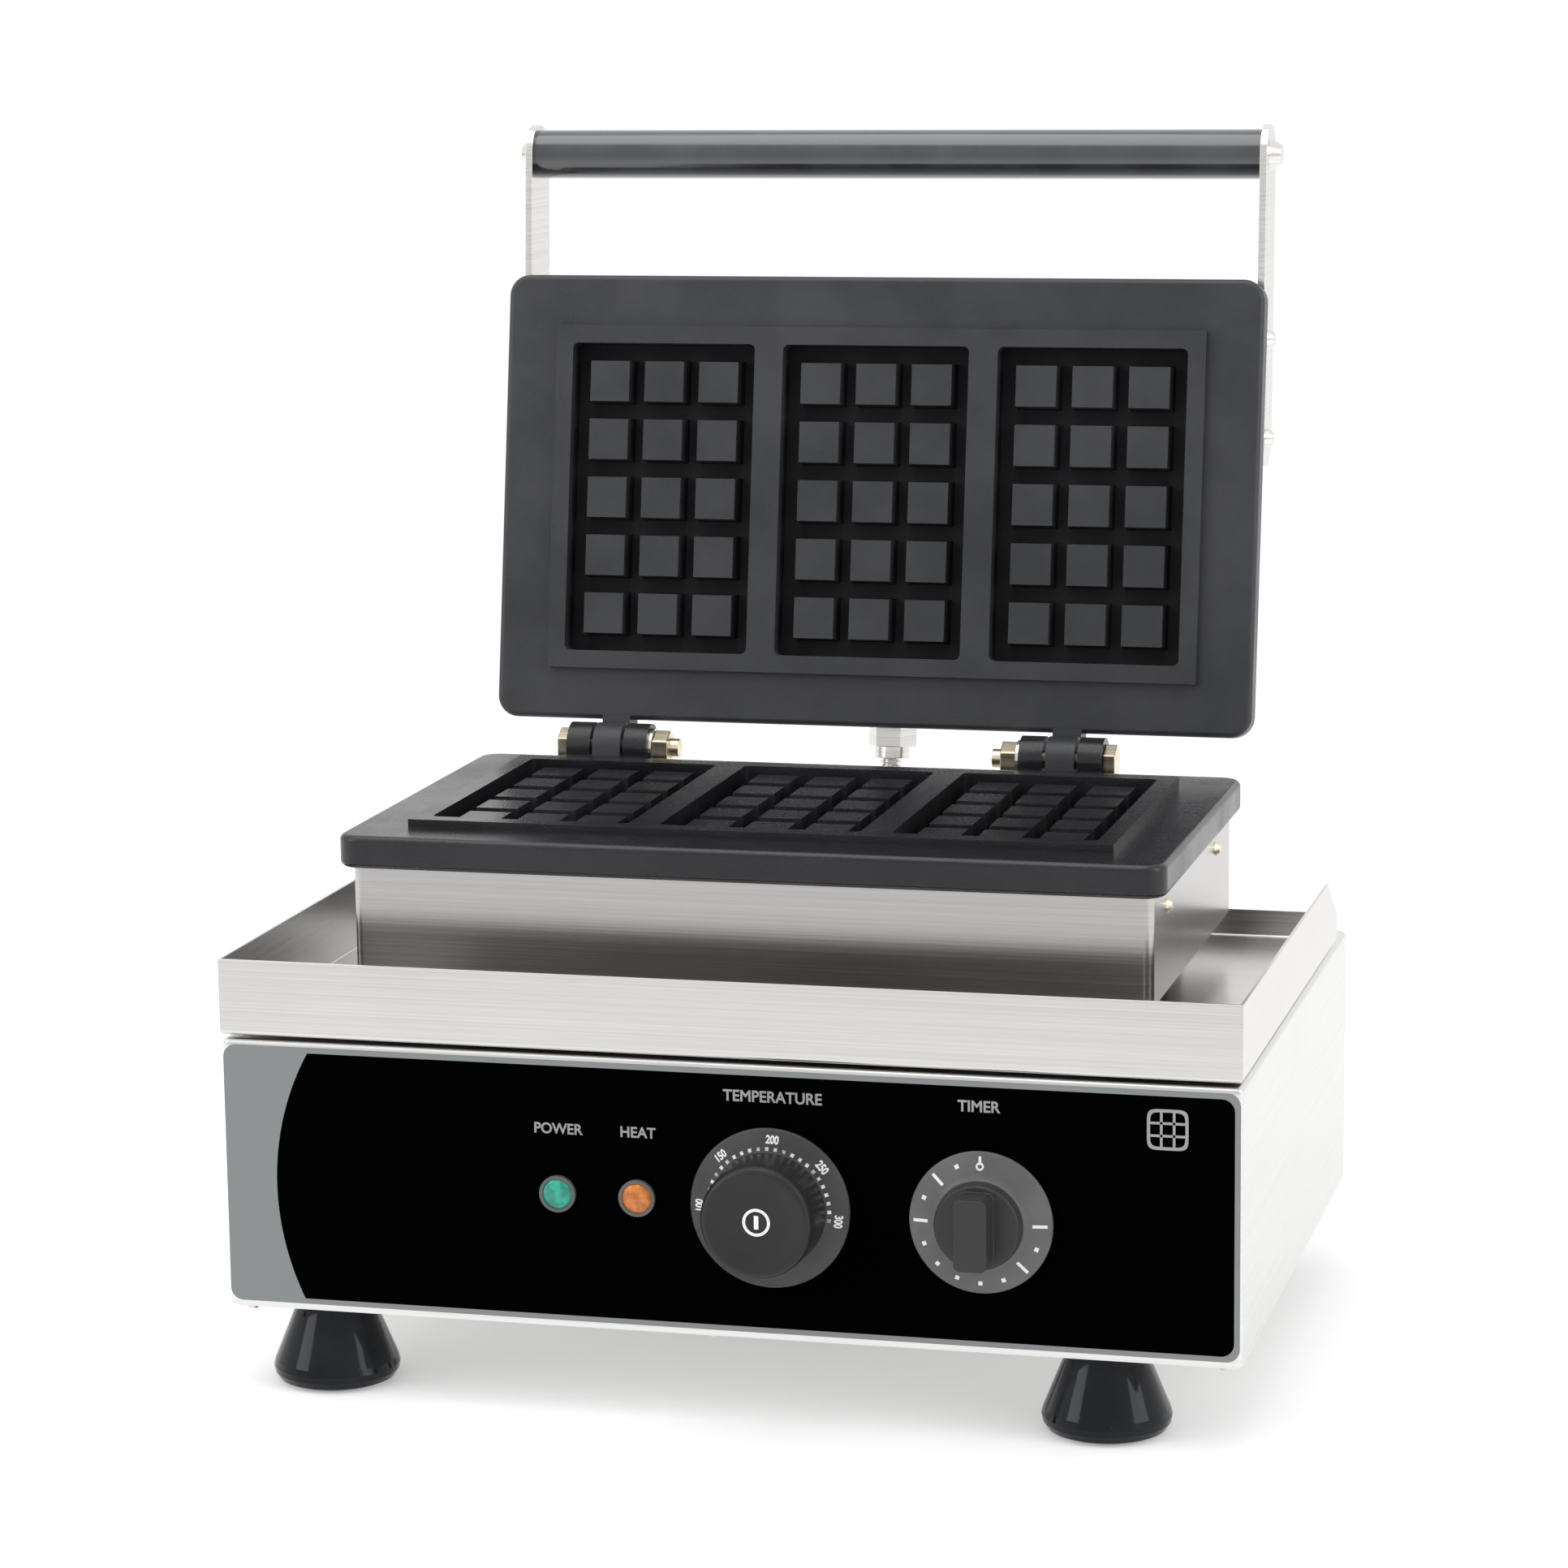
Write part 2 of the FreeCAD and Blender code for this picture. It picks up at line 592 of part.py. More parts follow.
def make_plate(label, margin, grows, screw_places, home):
    """A cast waffle plate about the hinge axis. It grows up (1) or down (-1) from its margin,
    and its land, cavities and blocks face the other way."""
    part = new_body(label)
    half = "(plate_width / 2)"
    back, front = "(0 - hinge_setback)", "(0 - hinge_setback - plate_depth)"
    outline = sketch_on(part, "XY", margin)
    rectangle(outline, minus(half), half, front, back)
    pad(part, outline, "rim_thickness", reverse=grows < 0)
    fillet(part, "plate_corner", lambda edge: runs(edge, "z"))
    fillet(part, "cast_radius", lambda edge: not runs(edge, "z"))
    land = sketch_on(part, "XY", margin)
    land_half = "(plate_width / 2 - land_side_margin)"
    land_front, land_back = "(%s + land_end_margin)" % front, "(%s - land_end_margin)" % back
    rectangle(land, minus(land_half), land_half, land_front, land_back)
    pad(part, land, "land_rise", reverse=grows > 0)
    face = "(%s - (%d) * land_rise)" % (margin, grows)
    cavity_width = "((2 * %s - 2 * cavity_border - 2 * cavity_wall) / 3)" % land_half
    pitch = "(%s + cavity_wall)" % cavity_width
    cavities = sketch_on(part, "XY", face)
    for column in (-1, 0, 1):
        middle = "(%d * %s)" % (column, pitch)
        rectangle(cavities, "(%s - %s / 2)" % (middle, cavity_width), "(%s + %s / 2)" % (middle, cavity_width),
                  "(%s + cavity_border)" % land_front, "(%s - cavity_border)" % land_back)
    pocket(part, cavities, "cavity_depth", reverse=grows > 0)
    depth = size_of("cavity_depth")
    fillet(part, "cavity_corner", lambda edge: runs(edge, "z") and abs(edge.Length - depth) < 0.01)
    floor = "(%s + (%d) * cavity_depth)" % (face, grows)
    block = sketch_on(part, "XY", floor)
    first_x = "(0 - %s - block_pitch_across)" % pitch
    first_y = "(%s - 2 * block_pitch_along)" % plate_middle
    rectangle(block, "(%s - block_size / 2)" % first_x, "(%s + block_size / 2)" % first_x,
              "(%s - block_size / 2)" % first_y, "(%s + block_size / 2)" % first_y)
    tooth = pad(part, block, "cavity_depth - block_drop", reverse=grows > 0)
    bind(tooth, "TaperAngle", "0 - block_draft")
    repeat_blocks(part, tooth, pitch)
    add_hinge_webs(part, margin, grows)
    bosses = sketch_on(part, "XY", "(%s + (%d) * (rim_thickness - 0.5))" % (margin, grows))
    wall = "(pedestal_width / 2 - sheet_wall - hole_play)" if grows < 0 else \
        "(housing_width / 2 - sheet_wall - hole_play)"
    for side in (-1, 1):
        for place in screw_places:
            rectangle(bosses, "(%d * (%s - boss_width))" % (side, wall), "(%d * %s)" % (side, wall),
                      "(%s - boss_length / 2)" % place, "(%s + boss_length / 2)" % place)
    pad(part, bosses, "boss_height + 0.5", reverse=grows < 0)
    taps = sketch_on(part, "YZ")
    for place in screw_places:
        circle(taps, place, "(%s + (%d) * (rim_thickness + side_screw_drop))" % (margin, grows),
               "screw_radius + 0.05")
    pocket(part, taps, "pedestal_width + 10", midplane=True)
    clamps = sketch_on(part, "XY", "(%s + (%d) * rim_thickness)" % (margin, grows))
    for side in (-1, 1):
        circle(clamps, "(%d * %s / 2)" % (side, pitch), plate_middle, "screw_radius + 0.05")
    pocket(part, clamps, "9", reverse=grows < 0)
    return node(label, part, home)


def repeat_blocks(part, tooth, pitch):
    """Three blocks across and five along in each of the three cavities."""
    steps = (("X_Axis", "2 * block_pitch_across", 3), ("Y_Axis", "4 * block_pitch_along", 5),
             ("X_Axis", "2 * %s" % pitch, 3))
    many = part.newObject("PartDesign::MultiTransform", part.Name + "_blocks")
    many.Originals = [tooth]
    rows = []
    for role, length, count in steps:
        axis = [item for item in part.Origin.OriginFeatures if item.Role == role][0]
        line = doc.addObject("PartDesign::LinearPattern", part.Name + "_row")
        part.addObject(line)
        line.Direction = (axis, [""])
        bind(line, "Length", length)
        line.Occurrences = count
        rows.append(line)
    many.Transformations = rows
    part.Tip = many
    doc.recompute()


def add_hinge_webs(part, margin, grows):
    """The lower plate (-1) carries two ears at each hinge, the upper plate (1) the knuckle."""
    if grows < 0:
        length = "(2 * ear_width + knuckle_width + 2 * hinge_play)"
    else:
        length = "knuckle_width"
    webs = sketch_on(part, "XY", margin)
    for across in hinge_xs:
        rectangle(webs, "(%s - %s / 2)" % (across, length), "(%s + %s / 2)" % (across, length),
                  "(0 - hinge_setback - 2)", "0")
    pad(part, webs, "rim_thickness - 1", reverse=grows < 0)
    for across in hinge_xs:
        eye = sketch_on(part, "YZ", across)
        circle(eye, "0", "0", "eye_radius")
        pad(part, eye, length, midplane=True)
    if grows < 0:
        slots = sketch_on(part, "XY", "(eye_radius + 1)")
        gap = "(knuckle_width / 2 + hinge_play)"
        for across in hinge_xs:
            rectangle(slots, "(%s - %s)" % (across, gap), "(%s + %s)" % (across, gap),
                      "(0 - hinge_setback)", "(eye_radius + 1)")
        pocket(part, slots, "eye_radius + 2 + rim_thickness + hinge_rise")
    else:
        heel = "(0.7 * eye_radius)"
        for across in hinge_xs:
            stop = sketch_on(part, "YZ", across)
            rectangle(stop, "0", heel, "(0 - eye_radius)", "0.02")
            pad(part, stop, length, midplane=True)
    fit = "running_fit" if grows > 0 else "hole_play"
    for across in hinge_xs:
        bore = sketch_on(part, "YZ", across)
        circle(bore, "0", "0", "hinge_bolt_radius + %s" % fit)
        pocket(part, bore, "%s + 2" % length, midplane=True)


def make_hinge_hardware():
    """One bolt per hinge, its head on the outer side and its nut on the side facing the middle."""
    bolts, nuts, washers = [], [], []
    reach = "(ear_width + knuckle_width / 2 + hinge_play)"
    at = ("0", "0")
    for across, inward in zip(hinge_xs, (1, -1)):
        outer = "(%s - (%d) * %s)" % (across, inward, reach)
        inner = "(%s + (%d) * %s)" % (across, inward, reach)

        def span(seat, near, far, direction):
            ends = ["(%s + (%s))" % (seat, text) for text in
                    ((near, far) if direction > 0 else ("0 - (%s)" % far, "0 - (%s)" % near))]
            return ends

        head = span(outer, "0", "5", -inward)
        shank = span(outer, "0", "2 * %s + 12.5" % reach, inward)
        bolts.append(join([hexagon("x", head[0], head[1], at, "7.5"),
                           rod("x", shank[0], shank[1], at, "hinge_bolt_radius")]))
        flat = span(inner, "0", "1.6", inward)
        washers.append(tube("x", flat[0], flat[1], at, "8", "hinge_bolt_radius + 0.2"))
        nut = span(inner, "1.6", "8.4", inward)
        hole = rod("x", "%s - 1" % nut[0], "%s + 1" % nut[1], at, "hinge_bolt_radius + 0.05")
        nuts.append(cut(hexagon("x", nut[0], nut[1], at, "7.5"), [hole]))
    node("hinge_bolts", group(bolts), "hinge")
    node("hinge_washers", group(washers), "hinge")
    node("hinge_nuts", group(nuts), "hinge")


# ---- heating ----

def heater_shape(margin, grows):
    """A rectangular loop of tube against the plate's back, with two leads turned away from it."""
    back = margin + grows * size_of("rim_thickness")
    level = back + grows * (size_of("heater_radius") + 0.1)
    lead = level + grows * size_of("heater_lead")
    middle = -size_of("hinge_setback") - size_of("plate_depth") / 2
    far, side = size_of("heater_half_length"), size_of("heater_half_width")
    near = 2 * size_of("heater_radius") + 4
    corners = [(near, middle - side, lead), (near, middle - side, level), (far, middle - side, level),
               (far, middle + side, level), (-far, middle + side, level), (-far, middle - side, level),
               (-near, middle - side, level), (-near, middle - side, lead)]
    return round_bar(bent_wire(corners, size_of("heater_bend")), size_of("heater_radius"))


def make_heating(prefix, margin, margin_number, grows, width, home):
    """The heater, its clamps and the insulation behind one plate, about the hinge axis."""
    heater = doc.addObject("Part::Feature", prefix + "_heater_shape")
    heater.Shape = heater_shape(margin_number, grows)
    node(prefix + "_heating_element", heater, home)

    def level(amount):
        return "(%s + (%d) * (%s))" % (margin, grows, amount)

    def between(near, far):
        ends = (level("rim_thickness + " + near), level("rim_thickness + " + far))
        return ends if grows > 0 else ends[::-1]

    cavity_width = "((plate_width - 2 * land_side_margin - 2 * cavity_border - 2 * cavity_wall) / 3)"
    divider = "((%s + cavity_wall) / 2)" % cavity_width
    strips, bolts = [], []
    inner_edge = "(2 * heater_radius + 0.2)"
    outer_edge = "(2 * heater_radius + 0.2 + clamp_thickness)"
    reach = "(heater_half_width + heater_radius + 6)"
    for side in (-1, 1):
        across = "(%d * %s)" % (side, divider)
        low, high = between(inner_edge, outer_edge)
        strip = box("(%s - clamp_width / 2)" % across, "(%s + clamp_width / 2)" % across,
                    "(%s - %s)" % (plate_middle, reach), "(%s + %s)" % (plate_middle, reach), low, high)
        hole = rod("z", "(%s) - 1" % low, "(%s) + 1" % high, (across, plate_middle), "screw_radius + 0.1")
        strips.append(cut(strip, [hole]))
        start, end = between("0 - 8", outer_edge)
        shank = rod("z", start, end, (across, plate_middle), "screw_radius")
        start, end = between(outer_edge, outer_edge + " + 3")
        bolts.append(join([shank, hexagon("z", start, end, (across, plate_middle), "4")]))
    node(prefix + "_heater_clamps", group(strips), home)
    node(prefix + "_clamp_bolts", group(bolts), home)
    slab_near = "(%s + 4)" % outer_edge
    low, high = between(slab_near, slab_near + " + slab_thickness")
    half = "(%s / 2 - sheet_wall - boss_width - 2)" % width
    half_depth = "(plate_depth / 2 - 16)"
    slab = box(minus(half), half, "(%s - %s)" % (plate_middle, half_depth),
               "(%s + %s)" % (plate_middle, half_depth), low, high)
    window = box("(0 - 24)", "24", "(%s - heater_half_width - 12)" % plate_middle,
                 "(%s + heater_half_width + 12)" % plate_middle, "(%s) - 1" % low, "(%s) + 1" % high)
    node(prefix + "_insulation", cut(slab, [window]), home)


def make_thermostat_bulb():
    """The sensing bulb against the lower plate, with its capillary down to the thermostat."""
    middle = size_of("pedestal_front") + size_of("pedestal_depth") / 2 - size_of("depth_shift")
    plate = size_of("stand_height") + size_of("casing_height") + size_of("tray_gap")
    plate += size_of("sheet_wall") + size_of("pedestal_lift") + size_of("pedestal_height")
    level = plate - 3.3
    bulb = Part.makeCylinder(3, 56, FreeCAD.Vector(0, middle - 28, level), FreeCAD.Vector(0, 1, 0))
    body_top = size_of("stand_height") + size_of("thermostat_rise")
    front = size_of("front_step") - size_of("depth_shift") + size_of("sheet_wall")
    corners = [(0, middle - 27, level), (0, middle - 38, level), (0, middle - 38, level - 26),
               (0, middle, level - 26), (0, middle, body_top + 24),
               (size_of("thermostat_x"), front + 26, body_top + 24),
               (size_of("thermostat_x"), front + 26, body_top + 16)]
    made = doc.addObject("Part::Feature", "thermostat_bulb")
    made.Shape = bulb.fuse(round_bar(bent_wire(corners, 4.5), 1)).removeSplitter()
    return node("thermostat_bulb", made)


# ---- lid ----

def make_upper_housing():
    half, inner = "(housing_width / 2)", "(housing_width / 2 - sheet_wall)"
    part = new_body("upper_housing")
    outline = sketch_on(part, "XY", housing_low)
    rectangle(outline, minus(half), half, housing_far_end, housing_hinge_end)
    pad(part, outline, "housing_height")
    low = 2 * size_of("land_rise") + size_of("land_gap") - size_of("hinge_rise") + size_of("rim_thickness")
    fillet(part, "housing_bend", lambda edge: abs(edge.CenterOfMass.z - low) > 0.01)
    hollow = sketch_on(part, "XY", housing_low)
    rectangle(hollow, minus(inner), inner, "(%s + sheet_wall)" % housing_far_end,
              "(%s - sheet_wall)" % housing_hinge_end)
    pocket(part, hollow, "housing_height - sheet_wall", reverse=True)
    sides = sketch_on(part, "YZ")
    for place in upper_screw_places:
        circle(sides, place, "(%s + side_screw_drop)" % housing_low, "screw_radius + hole_play")
    for reach in ("arm_screw_near", "arm_screw_far"):
        circle(sides, minus(reach), arm_line(reach), "screw_radius + hole_play")
    pocket(part, sides, "housing_width + 10", midplane=True)
    entry = sketch_on(part, "XZ", housing_hinge_end)
    circle(entry, "conduit_x", "gland_rise", "conduit_radius + 3 + hole_play")
    pocket(part, entry, "2 * sheet_wall", reverse=True)
    return node("upper_housing", part, "lid")


def arm_line(reach):
    """The height of the arm's middle line at a reach from the hinge axis."""
    share = "((arm_reach - (%s)) / (arm_reach - arm_root_reach))" % reach
    return "(arm_rise + (arm_root_rise - arm_rise) * %s)" % share


def make_arm(label, side):
    """A flat steel arm: a tapered bar with round ends, drilled for the grip's rod and two screws."""
    part = new_body(label)
    inner = "(%d * (housing_width / 2 + hole_play))" % side
    outline = sketch_on(part, "YZ", inner)
    tip = FreeCAD.Vector(-size_of("arm_reach"), size_of("arm_rise"), 0)
    root = FreeCAD.Vector(-size_of("arm_root_reach"), size_of("arm_root_rise"), 0)
    radii = (size_of("arm_tip_radius"), size_of("arm_root_radius"))
    line = root - tip
    lean = math.atan2(line.y, line.x)
    swing = math.acos((radii[0] - radii[1]) / line.Length)
    upper, lower = lean + swing, lean - swing

    def rim(centre, radius, angle):
        return centre + FreeCAD.Vector(math.cos(angle), math.sin(angle), 0) * radius

    up = FreeCAD.Vector(0, 0, 1)
    tip_arc = Part.ArcOfCircle(Part.Circle(tip, up, radii[0]), upper, lower + 2 * math.pi)
    root_arc = Part.ArcOfCircle(Part.Circle(root, up, radii[1]), lower, upper)
    outline.addGeometry(tip_arc, False)
    outline.addGeometry(root_arc, False)
    outline.addGeometry(Part.LineSegment(rim(tip, radii[0], upper), rim(root, radii[1], upper)), False)
    outline.addGeometry(Part.LineSegment(rim(root, radii[1], lower), rim(tip, radii[0], lower)), False)
    for first, end, second, start in ((0, 1, 2, 1), (1, 2, 2, 2), (1, 1, 3, 1), (0, 2, 3, 2)):
        outline.addConstraint(Sketcher.Constraint("Tangent", first, end, second, start))
    hold(outline, ("(0 - arm_reach)", "arm_rise"), 3, 0)
    hold(outline, ("(0 - arm_root_reach)", "arm_root_rise"), 3, 1)
    for arc, alias in ((0, "arm_tip_radius"), (1, "arm_root_radius")):
        index = outline.addConstraint(Sketcher.Constraint("Radius", arc, size_of(alias)))
        bind(outline, "Constraints[%d]" % index, alias)
    pad(part, outline, "arm_thickness", reverse=side < 0)
    holes = sketch_on(part, "YZ", inner)
    circle(holes, "(0 - arm_reach)", "arm_rise", "rod_radius - 1 + hole_play")
    for reach in ("arm_screw_near", "arm_screw_far"):
        circle(holes, minus(reach), arm_line(reach), "screw_radius + hole_play")
    pocket(part, holes, "arm_thickness + 1", reverse=side > 0)
    return node(label, part, "lid")


def make_handle():
    end = "(housing_width / 2 + hole_play)"
    at = ("(0 - arm_reach)", "arm_rise")
    node("handle_grip", tube("x", minus(end), end, at, "grip_radius", "rod_radius + 0.2"), "lid")
    tap = "(%s - 14)" % end
    bar = rod("x", minus(end), end, at, "rod_radius")
    taps = [rod("x", tap, "%s + 1" % end, at, "rod_radius - 0.95"),
            rod("x", "0 - %s - 1" % end, minus(tap), at, "rod_radius - 0.95")]
    node("handle_rod", cut(bar, taps), "lid")
    seat = "(%s + arm_thickness)" % end
    ends = [screw("x", "(%d * %s)" % (side, seat), at, side, "15", "rod_radius - 1", "6.5", "4.5")
            for side in (-1, 1)]
    node("handle_end_screws", group(ends), "lid")
    fixings = []
    nuts = []
    for side in (-1, 1):
        for reach in ("arm_screw_near", "arm_screw_far"):
            place = (minus(reach), arm_line(reach))
            fixings.append(screw("x", "(%d * %s)" % (side, seat), place, side, "11", "screw_radius",
                                 "4.5", "2.8"))
            inner = "(housing_width / 2 - sheet_wall)"
            ends = ("(%d * %s)" % (side, inner), "(%d * (%s - 3.2))" % (side, inner))
            low, high = ends[::-1] if side > 0 else ends
            hole = rod("x", "(%s) - 1" % low, "(%s) + 1" % high, place, "screw_radius + 0.05")
            nuts.append(cut(hexagon("x", low, high, place, "4"), [hole]))
    node("arm_screws", group(fixings), "lid")
    node("arm_nuts", group(nuts), "lid")


def side_screws(label, half_width, places, level, home):
    """Round-head screws through a housing's sides into the plate's bosses."""
    made = []
    for side in (-1, 1):
        for place in places:
            made.append(screw("x", "(%d * %s)" % (side, half_width), (place, level), side, "9",
                              "screw_radius", "3.1", "1.8"))
    node(label, group(made), home)


# ---- controls ----

def make_label():
    half = "(casing_width / 2 - label_margin)"
    part = new_body("control_label")
    outline = sketch_on(part, "XZ", casing_front)
    low, high = "(stand_height + label_rise)", "(stand_height + label_rise + label_height)"
    rectangle(outline, minus(half), half, low, high)
    pad(part, outline, "label_thickness")
    fillet(part, "label_corner", lambda edge: runs(edge, "y"))
    holes = sketch_on(part, "XZ", casing_front)
    circle(holes, "thermostat_x", "(stand_height + thermostat_rise)", "bush_radius + hole_play")
    circle(holes, "timer_x", "(stand_height + timer_rise)", "bush_radius + hole_play")
    for lamp in ("power_lamp_x", "heat_lamp_x"):
        circle(holes, lamp, "(stand_height + lamp_height)", "lamp_radius - 1")
    pocket(part, holes, "2 * label_thickness", midplane=True)
    return node("control_label", part)


def make_lamps():
    bezels, bodies = [], []
    rise = "(stand_height + lamp_height)"
    for label, across in (("power_lamp_lens", "power_lamp_x"), ("heat_lamp_lens", "heat_lamp_x")):
        ring = rod("y", "%s - 1.8" % label_front, label_front, (across, rise), "lamp_radius")
        barrel = rod("y", label_front, "%s + 18" % casing_front, (across, rise), "lamp_radius - 1.3")
        seat = rod("y", "%s - 3" % label_front, "%s + 2" % label_front, (across, rise), "lamp_radius - 1.3")
        core = rod("y", "%s + 2" % label_front, "%s + 16" % casing_front, (across, rise), "lamp_radius - 2.5")
        bezels.append(cut(join([ring, barrel]), [seat, core]))
        bodies.append(rod("y", "%s + 2" % label_front, "%s + 15" % casing_front, (across, rise),
                          "lamp_radius - 2.8"))
        lens = "(lamp_radius - 1.35)"
        profile = [("0", "(0 - 2)"), (lens, "(0 - 2)"), (lens, "1.4"), ("(0.82 * %s)" % lens, "2.2"),
                   ("(0.5 * %s)" % lens, "2.8"), ("0", "3.1")]
        node(label, facing_front(revolved(label, profile), across, rise, label_front))
    node("lamp_bezels", group(bezels))
    node("lamp_bodies", group(bodies))


def make_control(kind, across, rise, width, height, depth):
    """A thermostat or timer: a box with a bush through the panel, its nut and its spindle."""
    level = "(stand_height + %s)" % rise
    inside = "(%s + sheet_wall)" % casing_front
    at = (across, level)
    case = box("(%s - %s / 2)" % (across, width), "(%s + %s / 2)" % (across, width), inside,
               "(%s + %s)" % (inside, depth), "(%s - %s / 2)" % (level, height), "(%s + %s / 2)" % (level, height))
    bush = rod("y", "(%s - 0.6)" % label_front, "(%s + 1)" % inside, at, "bush_radius")
    bore = rod("y", "(%s - 2)" % label_front, "(%s + 14)" % inside, at, "spindle_radius + running_fit")
    node(kind + "_body", cut(join([case, bush]), [bore]))
    spindle = rod("y", "(%s - 14)" % label_front, "(%s + 13)" % inside, at, "spindle_radius")
    node(kind + "_spindle", group([spindle]))


def knob_bore(owner, plane_offset, depth):
    hole = sketch_on(owner, "XY", plane_offset)
    circle(hole, "0", "0", "spindle_radius + 0.04")
    pocket(owner, hole, depth, reverse=True)


def make_temperature_knob():
    """A dial skirt with a round cap whose face is dished."""
    skirt = "thermostat_skirt"
    profile = [("0", "0"), ("(%s - 0.6)" % skirt, "0"), (skirt, "0.7"), (skirt, "1.8"),
               ("(%s - 0.8)" % skirt, "2.4"), ("(0.76 * %s)" % skirt, "4.2"), ("(0.72 * %s)" % skirt, "4.6"),
               ("(0.7 * %s)" % skirt, "21.5"), ("(0.67 * %s)" % skirt, "23.6"), ("(0.62 * %s)" % skirt, "24.4"),
               ("(0.56 * %s)" % skirt, "24"), ("(0.4 * %s)" % skirt, "22.6"), ("(0.2 * %s)" % skirt, "22"),
               ("0", "21.9")]
    part = revolved("temperature_knob", profile)
    knob_bore(part, "0", "13")
    seat = "(%s - knob_gap)" % label_front
    return node("temperature_knob", facing_front(part, "thermostat_x", "(stand_height + thermostat_rise)", seat))


def make_timer_knob():
    """A dial skirt with a round hub and a bar grip across it."""
    skirt = "timer_skirt"
    profile = [("0", "0"), ("(%s - 0.6)" % skirt, "0"), (skirt, "0.7"), (skirt, "1.8"),
               ("(%s - 0.8)" % skirt, "2.4"), ("(0.7 * %s)" % skirt, "3.4"), ("(0.62 * %s)" % skirt, "4.4"),
               ("(0.6 * %s)" % skirt, "9"), ("(0.575 * %s)" % skirt, "10"), ("0", "10")]
    part = revolved("timer_knob", profile)
    grip = sketch_on(part, "XY", "9")
    rectangle(grip, "(0 - 0.23 * %s)" % skirt, "(0.23 * %s)" % skirt, "(0 - 0.5 * %s)" % skirt,
              "(0.5 * %s)" % skirt)
    pad(part, grip, "13")
    fillet(part, "0.09 * timer_skirt", lambda edge: runs(edge, "z") and edge.Length > 5)
    knob_bore(part, "0", "13")
    seat = "(%s - knob_gap)" % label_front
    return node("timer_knob", facing_front(part, "timer_x", "(stand_height + timer_rise)", seat))


# ---- feet, glands and rear fittings ----

def make_feet():
    base, top = "foot_base_radius", "foot_top_radius"
    profile = [("(screw_radius + 1 + hole_play)", "10"), ("7", "10"), ("7", "0"), ("(%s - 5)" % base, "0"),
               ("(%s - 2)" % base, "1.4"), ("(%s - 0.4)" % base, "4"), (base, "6.5"), ("(%s - 0.7)" % base, "9"),
               (top, "(%s - 0.6)" % cover_low), ("(%s - 0.6)" % top, cover_low),
               ("(screw_radius + 1 + hole_play)", cover_low)]
    bolts = []
    for side, across in (("left", "left_foot_x"), ("right", "right_foot_x")):
        for end, place in (("front", front_foot_y), ("rear", rear_foot_y)):
            label = "%s_%s_foot" % (end, side)
            foot = revolved(label, profile)
            bind(foot, "Placement.Base.x", across)
            bind(foot, "Placement.Base.y", place)
            node(label, foot)
            at = (across, place)
            bolts.append(screw("z", "10", at, -1, "stand_height - 5", "screw_radius + 1", "6", "3"))
    node("foot_screws", group(bolts))
    nuts = []
    for across in ("left_foot_x", "right_foot_x"):
        for place in (front_foot_y, rear_foot_y):
            at = (across, place)
            hole = rod("z", "stand_height - 1", "stand_height + 5", at, "screw_radius + 1.05")
            nuts.append(cut(hexagon("z", "stand_height", "stand_height + 3.6", at, "5.5"), [hole]))
    node("foot_nuts", group(nuts))


def make_glands():
    """The cord's inlet gland, and the bushing and gland of the conduit that feeds the lid."""
    at = ("cord_gland_x", "(stand_height + cord_gland_rise)")
    shell = join([rod("y", "%s - 8" % casing_rear, "%s + 10" % casing_rear, at, "cord_bore_radius + 4"),
                  hexagon("y", casing_rear, "%s + 5" % casing_rear, at, "cord_bore_radius + 8"),
                  rod("y", "%s + 10" % casing_rear, "%s + 14" % casing_rear, at, "cord_bore_radius + 2.5"),
                  hexagon("y", "%s - 6.2" % casing_rear, "%s - 1.2" % casing_rear, at, "cord_bore_radius + 8")])
    bore = rod("y", "%s - 9" % casing_rear, "%s + 15" % casing_rear, at, "cord_bore_radius")
    node("cord_gland", cut(shell, [bore]))
    at = ("conduit_x", "(%s - bushing_inset)" % casing_rear)
    under = "(%s - sheet_wall)" % casing_top
    shell = join([rod("z", "%s - 8" % casing_top, "%s + 9" % casing_top, at, "conduit_radius + 3"),
                  hexagon("z", casing_top, "%s + 6" % casing_top, at, "conduit_radius + 6"),
                  hexagon("z", "%s - 5" % under, under, at, "conduit_radius + 6")])
    bore = rod("z", "%s - 9" % casing_top, "%s + 10" % casing_top, at, "conduit_radius + 0.8")
    node("conduit_bushing", cut(shell, [bore]))
    at = ("conduit_x", "gland_rise")
    wall = housing_hinge_end
    mouth = "(%s + gland_length)" % wall
    shell = join([rod("y", "%s - 8" % wall, mouth, at, "conduit_radius + 3"),
                  hexagon("y", wall, "%s - 5" % mouth, at, "conduit_radius + 6"),
                  hexagon("y", "%s - 6.2" % wall, "%s - 1.2" % wall, at, "conduit_radius + 6")])
    bore = rod("y", "%s - 9" % wall, "%s + 1" % mouth, at, "conduit_radius - 1")
    node("upper_conduit_gland", cut(shell, [bore]), "lid")


